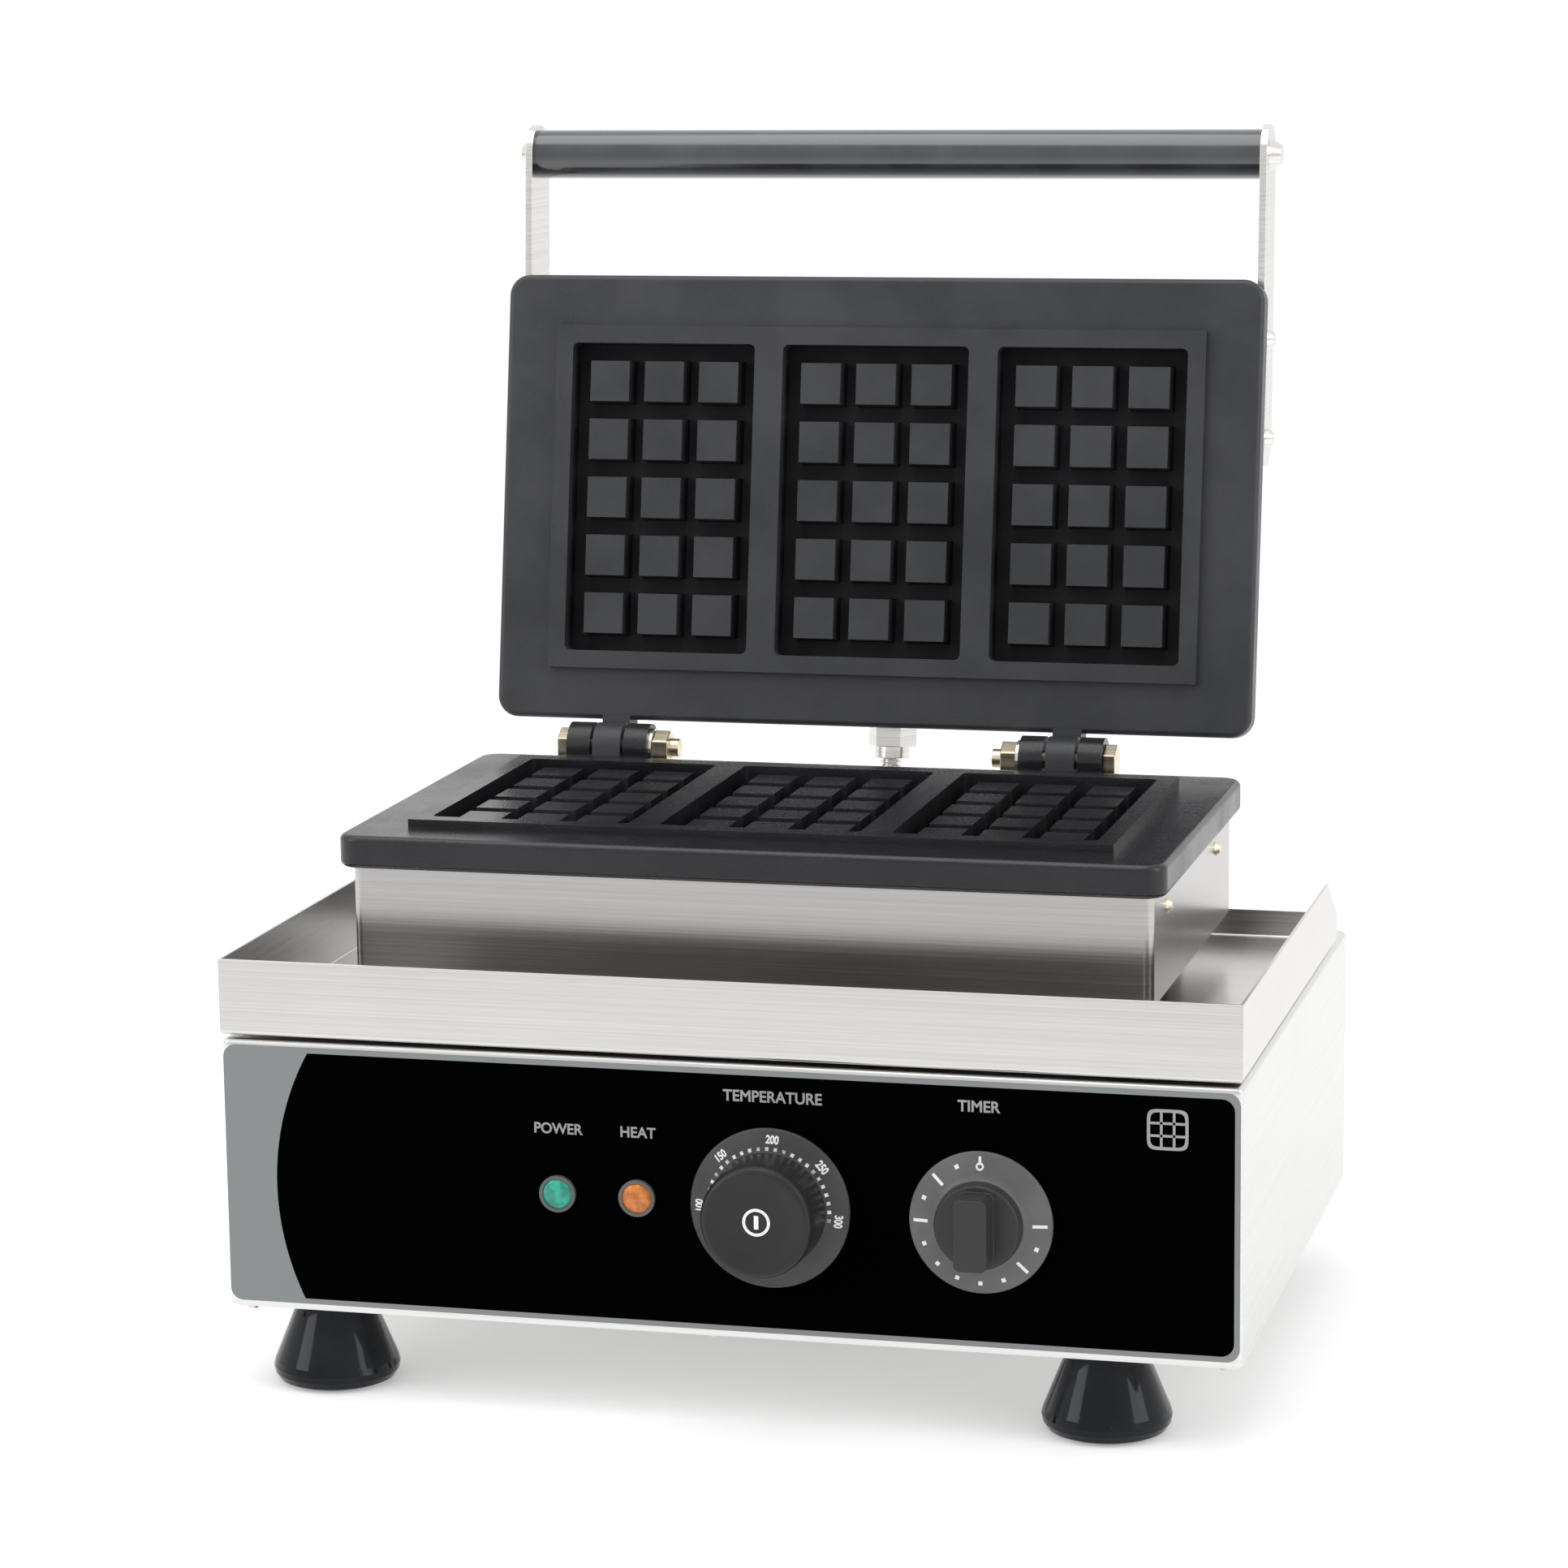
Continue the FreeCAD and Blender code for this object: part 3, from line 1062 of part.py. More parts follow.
def make_conduit():
    """The flexible conduit as it hangs with the lid open: out of the lid's gland, down through the
    bushing behind the tray, and round inside the casing to the terminal block."""
    angle = math.radians(size_of("open_angle"))
    down, slant = math.sin(angle), math.cos(angle)
    mouth = size_of("gland_length") - size_of("hinge_setback") - size_of("housing_end_step")
    axis_y = size_of("pedestal_front") - size_of("plate_overhang") + size_of("plate_depth")
    axis_y += size_of("hinge_setback") - size_of("depth_shift")
    roof = size_of("stand_height") + size_of("casing_height")
    axis_z = roof + size_of("tray_gap") + size_of("sheet_wall") + size_of("pedestal_lift")
    axis_z += size_of("pedestal_height") + size_of("rim_thickness") + size_of("hinge_rise")
    rear = size_of("front_step") + size_of("casing_depth") - size_of("depth_shift")
    across = size_of("conduit_x")
    start = FreeCAD.Vector(across, axis_y + mouth * slant + size_of("gland_rise") * down,
                           axis_z - mouth * down + size_of("gland_rise") * slant)
    bushing = FreeCAD.Vector(across, rear - size_of("bushing_inset"), roof - 6)
    end = FreeCAD.Vector(size_of("cord_gland_x") - 66, rear - 43.5, size_of("stand_height") + 11)
    first = start + FreeCAD.Vector(0, slant, -down) * 17.9
    middle = (first + bushing) / 2 + FreeCAD.Vector(0, 1.1, 2.5)
    fall, aside = bushing.z - end.z, end.x - bushing.x
    inner = [bushing + FreeCAD.Vector(aside * run, (end.y - bushing.y) * run, -fall * drop)
             for run, drop in ((0.04, 0.38), (0.25, 0.69), (0.58, 0.89))]
    corners = [start, first, middle, bushing] + inner + [end]
    made = doc.addObject("Part::Feature", "flexible_conduit")
    made.Shape = round_bar(bent_wire(corners), size_of("conduit_radius"))
    return node("flexible_conduit", made)


def make_rear_fittings():
    """The screws of the rear panel and bottom cover, and the terminal block inside."""
    screws = []
    for side in (-1, 1):
        for rise in rear_screw_rises:
            at = ("(%d * %s)" % (side, rear_screw_x), rise)
            screws.append(screw("y", casing_rear, at, 1, "8", "screw_radius", "3.6", "2.2"))
    node("rear_panel_screws", group(screws))
    cover = [screw("z", cover_low, place, -1, "7", "screw_radius", "3.4", "1.8")
             for place in cover_screw_places]
    node("bottom_cover_screws", group(cover))
    floor = "stand_height"
    block = box("(cord_gland_x - 60)", "(cord_gland_x - 18)", "(%s - 60)" % casing_rear,
                "(%s - 42)" % casing_rear, floor, "(%s + 20)" % floor)
    wells = [rod("z", "(%s + 12)" % floor, "(%s + 21)" % floor,
                 ("(cord_gland_x - %d)" % (53 - 14 * i), "(%s - 51)" % casing_rear), "3.2") for i in range(3)]
    node("terminal_block", cut(block, wells))


make_casing()
make_rear_panel()
make_bottom_cover()
make_drip_tray()
make_pedestal()
make_spacing()
margins = {"lower": -size_of("hinge_rise"),
           "upper": 2 * size_of("land_rise") + size_of("land_gap") - size_of("hinge_rise")}
make_plate("lower_plate", "(0 - hinge_rise)", -1, lower_screw_places, "hinge")
make_plate("upper_plate", upper_margin, 1, upper_screw_places, "lid")
make_hinge_hardware()
make_heating("lower", "(0 - hinge_rise)", margins["lower"], -1, "pedestal_width", "hinge")
make_heating("upper", upper_margin, margins["upper"], 1, "housing_width", "lid")
make_thermostat_bulb()
make_upper_housing()
make_arm("left_handle_arm", -1)
make_arm("right_handle_arm", 1)
make_handle()
side_screws("pedestal_screws", "(pedestal_width / 2)", lower_screw_places,
            "(0 - hinge_rise - rim_thickness - side_screw_drop)", "hinge")
side_screws("upper_housing_screws", "(housing_width / 2)", upper_screw_places,
            "(%s + side_screw_drop)" % housing_low, "lid")
make_label()
make_lamps()
make_control("thermostat", "thermostat_x", "thermostat_rise", "44", "32", "30")
make_control("timer", "timer_x", "timer_rise", "42", "42", "26")
make_temperature_knob()
make_timer_knob()
make_feet()
make_glands()
make_conduit()
make_rear_fittings()

doc.recompute()
for made in doc.Objects:
    if "Invalid" in made.State or "Error" in made.State:
        raise ValueError("%s did not compute: %s" % (made.Label, made.State))
os.makedirs("parts", exist_ok=True)
for label, made in nodes:
    if made.Shape.isNull() or not made.Shape.isValid():
        raise ValueError("%s has no valid shape" % label)
    made.Shape.exportStep("parts/%s.step" % label)
print("%d sub-parts written" % len(nodes))
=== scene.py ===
import json
import math
import bpy
import bmesh
import numpy as np
from mathutils import Matrix, Vector
from mathutils.bvhtree import BVHTree

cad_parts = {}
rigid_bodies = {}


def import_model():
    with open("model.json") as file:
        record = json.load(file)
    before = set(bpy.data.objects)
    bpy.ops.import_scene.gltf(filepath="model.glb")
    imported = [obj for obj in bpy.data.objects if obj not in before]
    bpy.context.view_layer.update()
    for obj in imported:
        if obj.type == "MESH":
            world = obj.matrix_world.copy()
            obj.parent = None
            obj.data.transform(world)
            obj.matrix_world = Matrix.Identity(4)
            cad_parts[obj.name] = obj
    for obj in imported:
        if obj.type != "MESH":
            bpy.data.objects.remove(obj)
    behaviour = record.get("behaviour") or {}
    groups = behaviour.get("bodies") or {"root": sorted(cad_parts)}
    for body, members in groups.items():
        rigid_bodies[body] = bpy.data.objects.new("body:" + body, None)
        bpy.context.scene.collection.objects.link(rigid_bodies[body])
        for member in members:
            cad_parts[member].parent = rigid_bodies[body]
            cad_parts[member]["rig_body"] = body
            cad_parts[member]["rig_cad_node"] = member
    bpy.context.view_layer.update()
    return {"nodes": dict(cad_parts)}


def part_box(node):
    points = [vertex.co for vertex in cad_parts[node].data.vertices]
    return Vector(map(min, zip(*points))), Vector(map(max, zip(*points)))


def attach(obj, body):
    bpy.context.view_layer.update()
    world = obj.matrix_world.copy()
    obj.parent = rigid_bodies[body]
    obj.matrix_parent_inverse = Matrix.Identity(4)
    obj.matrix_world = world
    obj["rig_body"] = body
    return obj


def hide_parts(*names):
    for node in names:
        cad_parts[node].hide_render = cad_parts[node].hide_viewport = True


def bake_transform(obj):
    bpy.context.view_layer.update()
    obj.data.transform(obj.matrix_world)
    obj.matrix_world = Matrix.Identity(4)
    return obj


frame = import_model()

nodes = frame["nodes"]
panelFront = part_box("control_label")[0].y
print("frame loaded,", len(nodes), "nodes")


def addNode(tree, kind, **inputs):  # a new node with its named inputs set
    node = tree.nodes.new(kind)
    for name, value in inputs.items():
        node.inputs[name].default_value = value
    return node


def mathNode(tree, operation, first, second=None):  # each operand is a number or another node's output
    node = tree.nodes.new("ShaderNodeMath")
    node.operation = operation
    for slot, value in enumerate((first, second)):
        if isinstance(value, (int, float)):
            node.inputs[slot].default_value = value
        elif value is not None:
            tree.links.new(value, node.inputs[slot])
    return node.outputs[0]


def ramp(tree, value, low, high, outLow=0.0, outHigh=1.0):  # eases from outLow to outHigh
    node = tree.nodes.new("ShaderNodeMapRange")
    node.interpolation_type = "SMOOTHSTEP"
    for slot, number in zip((1, 2, 3, 4), (low, high, outLow, outHigh)):
        node.inputs[slot].default_value = number
    tree.links.new(value, node.inputs[0])
    return node.outputs[0]


def noise(tree, vector, scale, detail=4.0, roughness=0.55):
    node = addNode(tree, "ShaderNodeTexNoise", Scale=scale, Detail=detail, Roughness=roughness)
    tree.links.new(vector, node.inputs["Vector"])
    return node.outputs["Fac"]


def scaled(tree, vector, scale):
    node = tree.nodes.new("ShaderNodeMapping")
    node.inputs["Scale"].default_value = scale
    tree.links.new(vector, node.inputs["Vector"])
    return node.outputs["Vector"]


def mixColour(tree, factor, first, second):
    node = tree.nodes.new("ShaderNodeMix")
    node.data_type = "RGBA"
    slots = (factor, None, None, None, None, None, first, second)
    for slot in (0, 6, 7):
        value = slots[slot]
        if isinstance(value, bpy.types.NodeSocket):
            tree.links.new(value, node.inputs[slot])
        else:
            node.inputs[slot].default_value = value
    return node.outputs[2]


def bump(tree, height, strength, distance):
    node = addNode(tree, "ShaderNodeBump", Strength=strength, Distance=distance)
    tree.links.new(height, node.inputs["Height"])
    return node.outputs["Normal"]


def newGroup(name, masks):  # a shared effect that puts out its masks and a normal
    tree = bpy.data.node_groups.new(name, "ShaderNodeTree")
    for label in masks:
        tree.interface.new_socket(name=label, in_out="OUTPUT", socket_type="NodeSocketFloat")
    tree.interface.new_socket(name="Normal", in_out="OUTPUT", socket_type="NodeSocketVector")
    sink = tree.nodes.new("NodeGroupOutput")
    place = tree.nodes.new("ShaderNodeTexCoord").outputs["Object"]
    return tree, sink, place


def brushedGroup():  # long fine streaks along the sheet, with faint cloudy smears
    tree, sink, place = newGroup("brushedSheet", ("Streaks", "Smears"))
    upright = noise(tree, scaled(tree, place, (5, 5, 1500)), 1.0, 3.0, 0.6)
    flat = noise(tree, scaled(tree, place, (5, 1500, 5)), 1.0, 3.0, 0.6)
    facing = tree.nodes.new("ShaderNodeSeparateXYZ")
    geometry = tree.nodes.new("ShaderNodeNewGeometry")
    tree.links.new(geometry.outputs["Normal"], facing.inputs[0])
    level = ramp(tree, mathNode(tree, "ABSOLUTE", facing.outputs["Z"]), 0.6, 0.8)
    streaks = mathNode(tree, "ADD", mathNode(tree, "MULTIPLY", flat, level),
                       mathNode(tree, "MULTIPLY", upright, mathNode(tree, "SUBTRACT", 1.0, level)))
    smears = noise(tree, scaled(tree, place, (14, 14, 22)), 1.0, 5.0, 0.6)
    tree.links.new(streaks, sink.inputs["Streaks"])
    tree.links.new(smears, sink.inputs["Smears"])
    tree.links.new(bump(tree, streaks, 0.05, 0.0002), sink.inputs["Normal"])
    return tree


def castGroup():  # sand-cast grain, with polished high spots and dull seasoning patches
    tree, sink, place = newGroup("castGrain", ("Grain", "Patches"))
    grain = noise(tree, place, 900, 3.0, 0.6)
    patches = noise(tree, place, 18, 5.0, 0.6)
    marks = noise(tree, scaled(tree, place, (60, 420, 60)), 1.0, 4.0, 0.7)
    tree.links.new(grain, sink.inputs["Grain"])
    tree.links.new(patches, sink.inputs["Patches"])
    height = mathNode(tree, "ADD", grain, mathNode(tree, "MULTIPLY", marks, 0.6))
    tree.links.new(bump(tree, height, 0.35, 0.0003), sink.inputs["Normal"])
    return tree


def mouldedGroup():  # moulded plastic: fine orange peel, handled patches and dust
    tree, sink, place = newGroup("mouldedSkin", ("Handled", "Specks"))
    handled = noise(tree, place, 35, 5.0, 0.6)
    specks = ramp(tree, noise(tree, place, 1600, 2.0, 0.5), 0.70, 0.78)
    peel = noise(tree, place, 420, 2.0, 0.5)
    tree.links.new(handled, sink.inputs["Handled"])
    tree.links.new(specks, sink.inputs["Specks"])
    tree.links.new(bump(tree, peel, 0.06, 0.0003), sink.inputs["Normal"])
    return tree


sharedGroups = {"brushed": brushedGroup(), "cast": castGroup(), "moulded": mouldedGroup()}


def startMaterial(name, group):
    material = bpy.data.materials.new(name)
    material.use_nodes = True
    tree = material.node_tree
    shader = tree.nodes["Principled BSDF"]
    effect = tree.nodes.new("ShaderNodeGroup")
    effect.node_tree = sharedGroups[group]
    tree.links.new(effect.outputs["Normal"], shader.inputs["Normal"])
    return material, tree, shader, effect


sheetLook = {"smearTint": (0.42, 0.42, 0.41, 1), "smearFrom": 0.45, "smearTo": 0.75, "anisotropic": 0.35}


# Brushed sheet: dark and light are the streaks, spread is how far they roughen the sheet.
def steelMaterial(name, dark, light, rough, spread, smear=0.08):
    material, tree, shader, effect = startMaterial(name, "brushed")
    streaks = ramp(tree, effect.outputs["Streaks"], 0.3, 0.7)
    base = mixColour(tree, streaks, dark, light)
    smears = ramp(tree, effect.outputs["Smears"], sheetLook["smearFrom"], sheetLook["smearTo"], 0.0, smear)
    base = mixColour(tree, smears, base, sheetLook["smearTint"])
    tree.links.new(base, shader.inputs["Base Color"])
    uneven = mathNode(tree, "MULTIPLY_ADD", effect.outputs["Streaks"], spread)
    uneven.node.inputs[2].default_value = rough
    tree.links.new(uneven, shader.inputs["Roughness"])
    shader.inputs["Metallic"].default_value = 1.0
    shader.inputs["Anisotropic"].default_value = sheetLook["anisotropic"]
    return material


def distanceAlong(tree, place, direction, start):  # how far a point lies from start, along a direction
    node = tree.nodes.new("ShaderNodeVectorMath")
    node.operation = "DOT_PRODUCT"
    tree.links.new(place, node.inputs[0])
    node.inputs[1].default_value = direction
    return mathNode(tree, "SUBTRACT", node.outputs["Value"], float(np.dot(direction, start)))


def inside(tree, value, low, high):  # 1 where the value lies between low and high, else 0
    return mathNode(tree, "MULTIPLY", mathNode(tree, "GREATER_THAN", value, low),
                    mathNode(tree, "LESS_THAN", value, high))


# Where the cavities lie on a plate, in metres from the hinge, and the lid's open angle in degrees.
plateFace = {"hinge": (0.0, 0.0882, 0.2189), "open": 99.8, "lowerFace": 0.0009, "upperFace": 0.0012,
             "halfWidth": 0.1340, "near": 0.0404, "far": 0.1732, "blockTop": 0.0026, "floor": 0.0105}
# The soot colour and its share paint shade into the cavities, along with the seasoning's own darkening.
seasoningAndShade = {"shadeAndSoot": (0.003, 0.003, 0.003, 1), "shadeAndSootShare": 0.72, "cavityDulling": 0.25,
             "smoother": 0.06, "rougher": 0.08, "grainDulling": 0.12, "gloss": 0.42, "glossLost": 0.24}


# Seasoned casting: soot together with painted shade deepens from the block tops to the cavity floors, along
# inward.
def castMaterial(name, dark, light, rough, inward, forward, face):
    material, tree, shader, effect = startMaterial(name, "cast")
    place = tree.nodes.new("ShaderNodeTexCoord").outputs["Object"]
    base = mixColour(tree, ramp(tree, effect.outputs["Patches"], 0.3, 0.7), dark, light)
    depth = mathNode(tree, "SUBTRACT", distanceAlong(tree, place, inward, plateFace["hinge"]), face)
    along = distanceAlong(tree, place, forward, plateFace["hinge"])
    aside = mathNode(tree, "ABSOLUTE", distanceAlong(tree, place, (1.0, 0.0, 0.0), (0.0, 0.0, 0.0)))
    within = mathNode(tree, "MULTIPLY", inside(tree, along, plateFace["near"], plateFace["far"]),
                      mathNode(tree, "LESS_THAN", aside, plateFace["halfWidth"]))
    # Painted shade with soot: the base darkens with depth into the cavities, where shade falls.
    cavityShadeAndSoot = mathNode(tree, "MULTIPLY", ramp(tree, depth, plateFace["blockTop"], plateFace["floor"]), within)
    base = mixColour(tree, mathNode(tree, "MULTIPLY", cavityShadeAndSoot, seasoningAndShade["shadeAndSootShare"]), base, seasoningAndShade["shadeAndSoot"])
    tree.links.new(base, shader.inputs["Base Color"])
    uneven = ramp(tree, effect.outputs["Patches"], 0.25, 0.8,
                  rough - seasoningAndShade["smoother"], rough + seasoningAndShade["rougher"])
    uneven = mathNode(tree, "ADD", uneven,
                      mathNode(tree, "MULTIPLY", effect.outputs["Grain"], seasoningAndShade["grainDulling"]))
    uneven = mathNode(tree, "ADD", uneven, mathNode(tree, "MULTIPLY", cavityShadeAndSoot, seasoningAndShade["cavityDulling"]))
    tree.links.new(uneven, shader.inputs["Roughness"])
    shine = mathNode(tree, "SUBTRACT", seasoningAndShade["gloss"],
                     mathNode(tree, "MULTIPLY", cavityShadeAndSoot, seasoningAndShade["glossLost"]))
    tree.links.new(shine, shader.inputs["Specular IOR Level"])
    return material


mouldedLook = {"dustGain": 3.0, "dustLift": 0.05, "frontEdge": 0.0002, "coatRoughness": 0.06}


# Moulded plastic: a front (y, grey) gives everything ahead of that y its own grey.
def plasticMaterial(name, dark, light, rough, coat=0.0, specks=0.25, shine=0.5, front=None):
    material, tree, shader, effect = startMaterial(name, "moulded")
    base = mixColour(tree, ramp(tree, effect.outputs["Handled"], 0.35, 0.7), dark, light)
    dusty = tuple(min(1.0, mouldedLook["dustGain"] * part + mouldedLook["dustLift"]) for part in light[:3])
    base = mixColour(tree, mathNode(tree, "MULTIPLY", effect.outputs["Specks"], specks), base, dusty + (1,))
    if front:
        frontY, grey = front
        place = tree.nodes.new("ShaderNodeTexCoord").outputs["Object"]
        ahead = ramp(tree, distanceAlong(tree, place, (0.0, -1.0, 0.0), (0.0, frontY, 0.0)),
                     -mouldedLook["frontEdge"], mouldedLook["frontEdge"])
        base = mixColour(tree, ahead, base, (grey, grey, grey, 1))
    tree.links.new(base, shader.inputs["Base Color"])
    shader.inputs["Specular IOR Level"].default_value = shine
    uneven = ramp(tree, effect.outputs["Handled"], 0.3, 0.75, rough - 0.04, rough + 0.06)
    tree.links.new(uneven, shader.inputs["Roughness"])
    shader.inputs["Coat Weight"].default_value = coat
    shader.inputs["Coat Roughness"].default_value = mouldedLook["coatRoughness"]
    return material


lensLook = {"facets": 260, "glow": 0.02, "roughness": 0.18, "coat": 0.35, "coatRoughness": 0.03}


def lensMaterial(name, deep, bright):  # a tinted lens with small facets and a faint glow
    material, tree, shader, effect = startMaterial(name, "moulded")
    place = tree.nodes.new("ShaderNodeTexCoord").outputs["Object"]
    facets = noise(tree, place, lensLook["facets"], 3.0, 0.6)
    colour = mixColour(tree, ramp(tree, facets, 0.35, 0.65), deep, bright)
    tree.links.new(colour, shader.inputs["Base Color"])
    tree.links.new(colour, shader.inputs["Emission Color"])
    shader.inputs["Emission Strength"].default_value = lensLook["glow"]
    shader.inputs["Roughness"].default_value = lensLook["roughness"]
    shader.inputs["Coat Weight"].default_value = lensLook["coat"]
    shader.inputs["Coat Roughness"].default_value = lensLook["coatRoughness"]
    return material


panelPrint = {"halfWidth": 0.1992, "low": 0.037, "high": 0.1397, "border": 0.0021, "corner": 0.005,
              "arcX": -0.0721, "arcZ": 0.0848, "arcRadius": 0.1065,
              "grey": (0.222, 0.236, 0.240, 1), "black": (0.0008, 0.0008, 0.0008, 1),
              "dust": (0.5, 0.5, 0.5, 1), "dustShare": 0.01, "smoothest": 0.34, "roughest": 0.42}


def panelMaterial():  # printed film: a grey border and left field round a black ground
    material, tree, shader, effect = startMaterial("panelFilm", "moulded")
    place = tree.nodes.new("ShaderNodeTexCoord").outputs["Object"]
    split = tree.nodes.new("ShaderNodeSeparateXYZ")
    tree.links.new(place, split.inputs[0])
    halfHeight = (panelPrint["high"] - panelPrint["low"]) / 2
    middle = (panelPrint["high"] + panelPrint["low"]) / 2
    inset = panelPrint["border"] + panelPrint["corner"]
    acrossOut = mathNode(tree, "SUBTRACT", mathNode(tree, "ABSOLUTE", split.outputs["X"]),
                         panelPrint["halfWidth"] - inset)
    rise = mathNode(tree, "SUBTRACT", split.outputs["Z"], middle)
    upOut = mathNode(tree, "SUBTRACT", mathNode(tree, "ABSOLUTE", rise), halfHeight - inset)
    acrossOut = mathNode(tree, "MAXIMUM", acrossOut, 0.0)
    upOut = mathNode(tree, "MAXIMUM", upOut, 0.0)
    reach = mathNode(tree, "SQRT", mathNode(tree, "ADD", mathNode(tree, "MULTIPLY", acrossOut, acrossOut),
                                            mathNode(tree, "MULTIPLY", upOut, upOut)))
    border = mathNode(tree, "GREATER_THAN", reach, panelPrint["corner"])
    dx = mathNode(tree, "SUBTRACT", split.outputs["X"], panelPrint["arcX"])
    dz = mathNode(tree, "SUBTRACT", split.outputs["Z"], panelPrint["arcZ"])
    arc = mathNode(tree, "SQRT", mathNode(tree, "ADD", mathNode(tree, "MULTIPLY", dx, dx),
                                          mathNode(tree, "MULTIPLY", dz, dz)))
    field = mathNode(tree, "MULTIPLY", mathNode(tree, "GREATER_THAN", arc, panelPrint["arcRadius"]),
                     mathNode(tree, "LESS_THAN", split.outputs["X"], panelPrint["arcX"]))
    grey = mathNode(tree, "MAXIMUM", border, field)
    base = mixColour(tree, grey, panelPrint["black"], panelPrint["grey"])
    dust = mathNode(tree, "MULTIPLY", effect.outputs["Specks"], panelPrint["dustShare"])
    base = mixColour(tree, dust, base, panelPrint["dust"])
    tree.links.new(base, shader.inputs["Base Color"])
    sheen = ramp(tree, effect.outputs["Handled"], 0.3, 0.7, panelPrint["smoothest"], panelPrint["roughest"])
    tree.links.new(sheen, shader.inputs["Roughness"])
    shader.inputs["Specular IOR Level"].default_value = 0.0
    return material


lean = math.radians(plateFace["open"])
knobSplit = panelFront - 0.0066  # the y that parts a knob's skirt from its cap

# The numbers after the two colours are, for sheet: roughness, its spread and the smears; for plastic:
# roughness, coat, dust, specular level and the front's own grey.
materials = {
    "casing": steelMaterial("brushedCasing", (0.69, 0.685, 0.67, 1), (0.75, 0.745, 0.73, 1), 0.24, 0.10),
    "tray": steelMaterial("brushedTray", (0.61, 0.60, 0.59, 1), (0.68, 0.67, 0.66, 1), 0.20, 0.08),
    "pedestal": steelMaterial("brushedPedestal", (0.46, 0.445, 0.435, 1), (0.52, 0.505, 0.495, 1),
                              0.22, 0.06),
    "bright": steelMaterial("brightSteel", (0.68, 0.67, 0.64, 1), (0.80, 0.79, 0.76, 1), 0.16, 0.06, 0.03),
    "zinc": steelMaterial("zincPlate", (0.66, 0.64, 0.58, 1), (0.82, 0.80, 0.74, 1), 0.18, 0.10, 0.05),
    "brassy": steelMaterial("passivatedScrew", (0.70, 0.60, 0.42, 1), (0.84, 0.76, 0.58, 1), 0.2, 0.1, 0.05),
    "heater": steelMaterial("heatedTube", (0.24, 0.21, 0.19, 1), (0.40, 0.36, 0.32, 1), 0.36, 0.12, 0.3),
    "plate": castMaterial("lowerCasting", (0.010, 0.010, 0.012, 1), (0.017, 0.017, 0.020, 1), 0.20,
                          (0.0, 0.0, -1.0), (0.0, -1.0, 0.0), -plateFace["lowerFace"]),
    "lidPlate": castMaterial("upperCasting", (0.021, 0.022, 0.026, 1), (0.035, 0.036, 0.043, 1), 0.34,
                             (0.0, math.sin(lean), math.cos(lean)),
                             (0.0, -math.cos(lean), math.sin(lean)), plateFace["upperFace"]),
    "grip": plasticMaterial("gripPlastic", (0.016, 0.019, 0.024, 1), (0.030, 0.034, 0.041, 1),
                            0.20, 0.6, 0.25, 0.9),
    "foot": plasticMaterial("footPlastic", (0.004, 0.005, 0.007, 1), (0.009, 0.010, 0.015, 1),
                            0.10, 0.10, 0.7, 0.18),
    "knob": plasticMaterial("knobPlastic", (0.040, 0.040, 0.041, 1), (0.058, 0.058, 0.058, 1),
                            0.40, 0.0, 0.1, 0.3, (knobSplit, 0.017)),
    "timerKnob": plasticMaterial("timerPlastic", (0.095, 0.095, 0.097, 1), (0.125, 0.125, 0.125, 1),
                                 0.40, 0.0, 0.1, 0.3, (knobSplit, 0.030)),
    "black": plasticMaterial("blackNylon", (0.012, 0.012, 0.013, 1), (0.02, 0.02, 0.021, 1), 0.35),
    "bezel": plasticMaterial("bezelGrey", (0.07, 0.07, 0.07, 1), (0.11, 0.11, 0.11, 1), 0.3),
    "fibre": plasticMaterial("darkFibre", (0.015, 0.014, 0.013, 1), (0.028, 0.026, 0.024, 1), 0.8),
    "ivory": plasticMaterial("ivoryMoulding", (0.62, 0.60, 0.52, 1), (0.70, 0.68, 0.60, 1), 0.45),
    "board": plasticMaterial("fibreBoard", (0.60, 0.57, 0.50, 1), (0.72, 0.70, 0.63, 1), 0.9),
    "ink": plasticMaterial("paleInk", (0.27, 0.275, 0.28, 1), (0.33, 0.335, 0.34, 1), 0.6, 0.0, 0.0, 0.1),
    "whiteInk": plasticMaterial("whiteInk", (0.72, 0.72, 0.71, 1), (0.80, 0.80, 0.79, 1), 0.5, 0.0, 0.0),
    "greenLens": lensMaterial("greenLens", (0.004, 0.20, 0.14, 1), (0.012, 0.38, 0.26, 1)),
    "orangeLens": lensMaterial("orangeLens", (0.42, 0.10, 0.006, 1), (0.60, 0.20, 0.025, 1)),
    "panel": panelMaterial(),
}
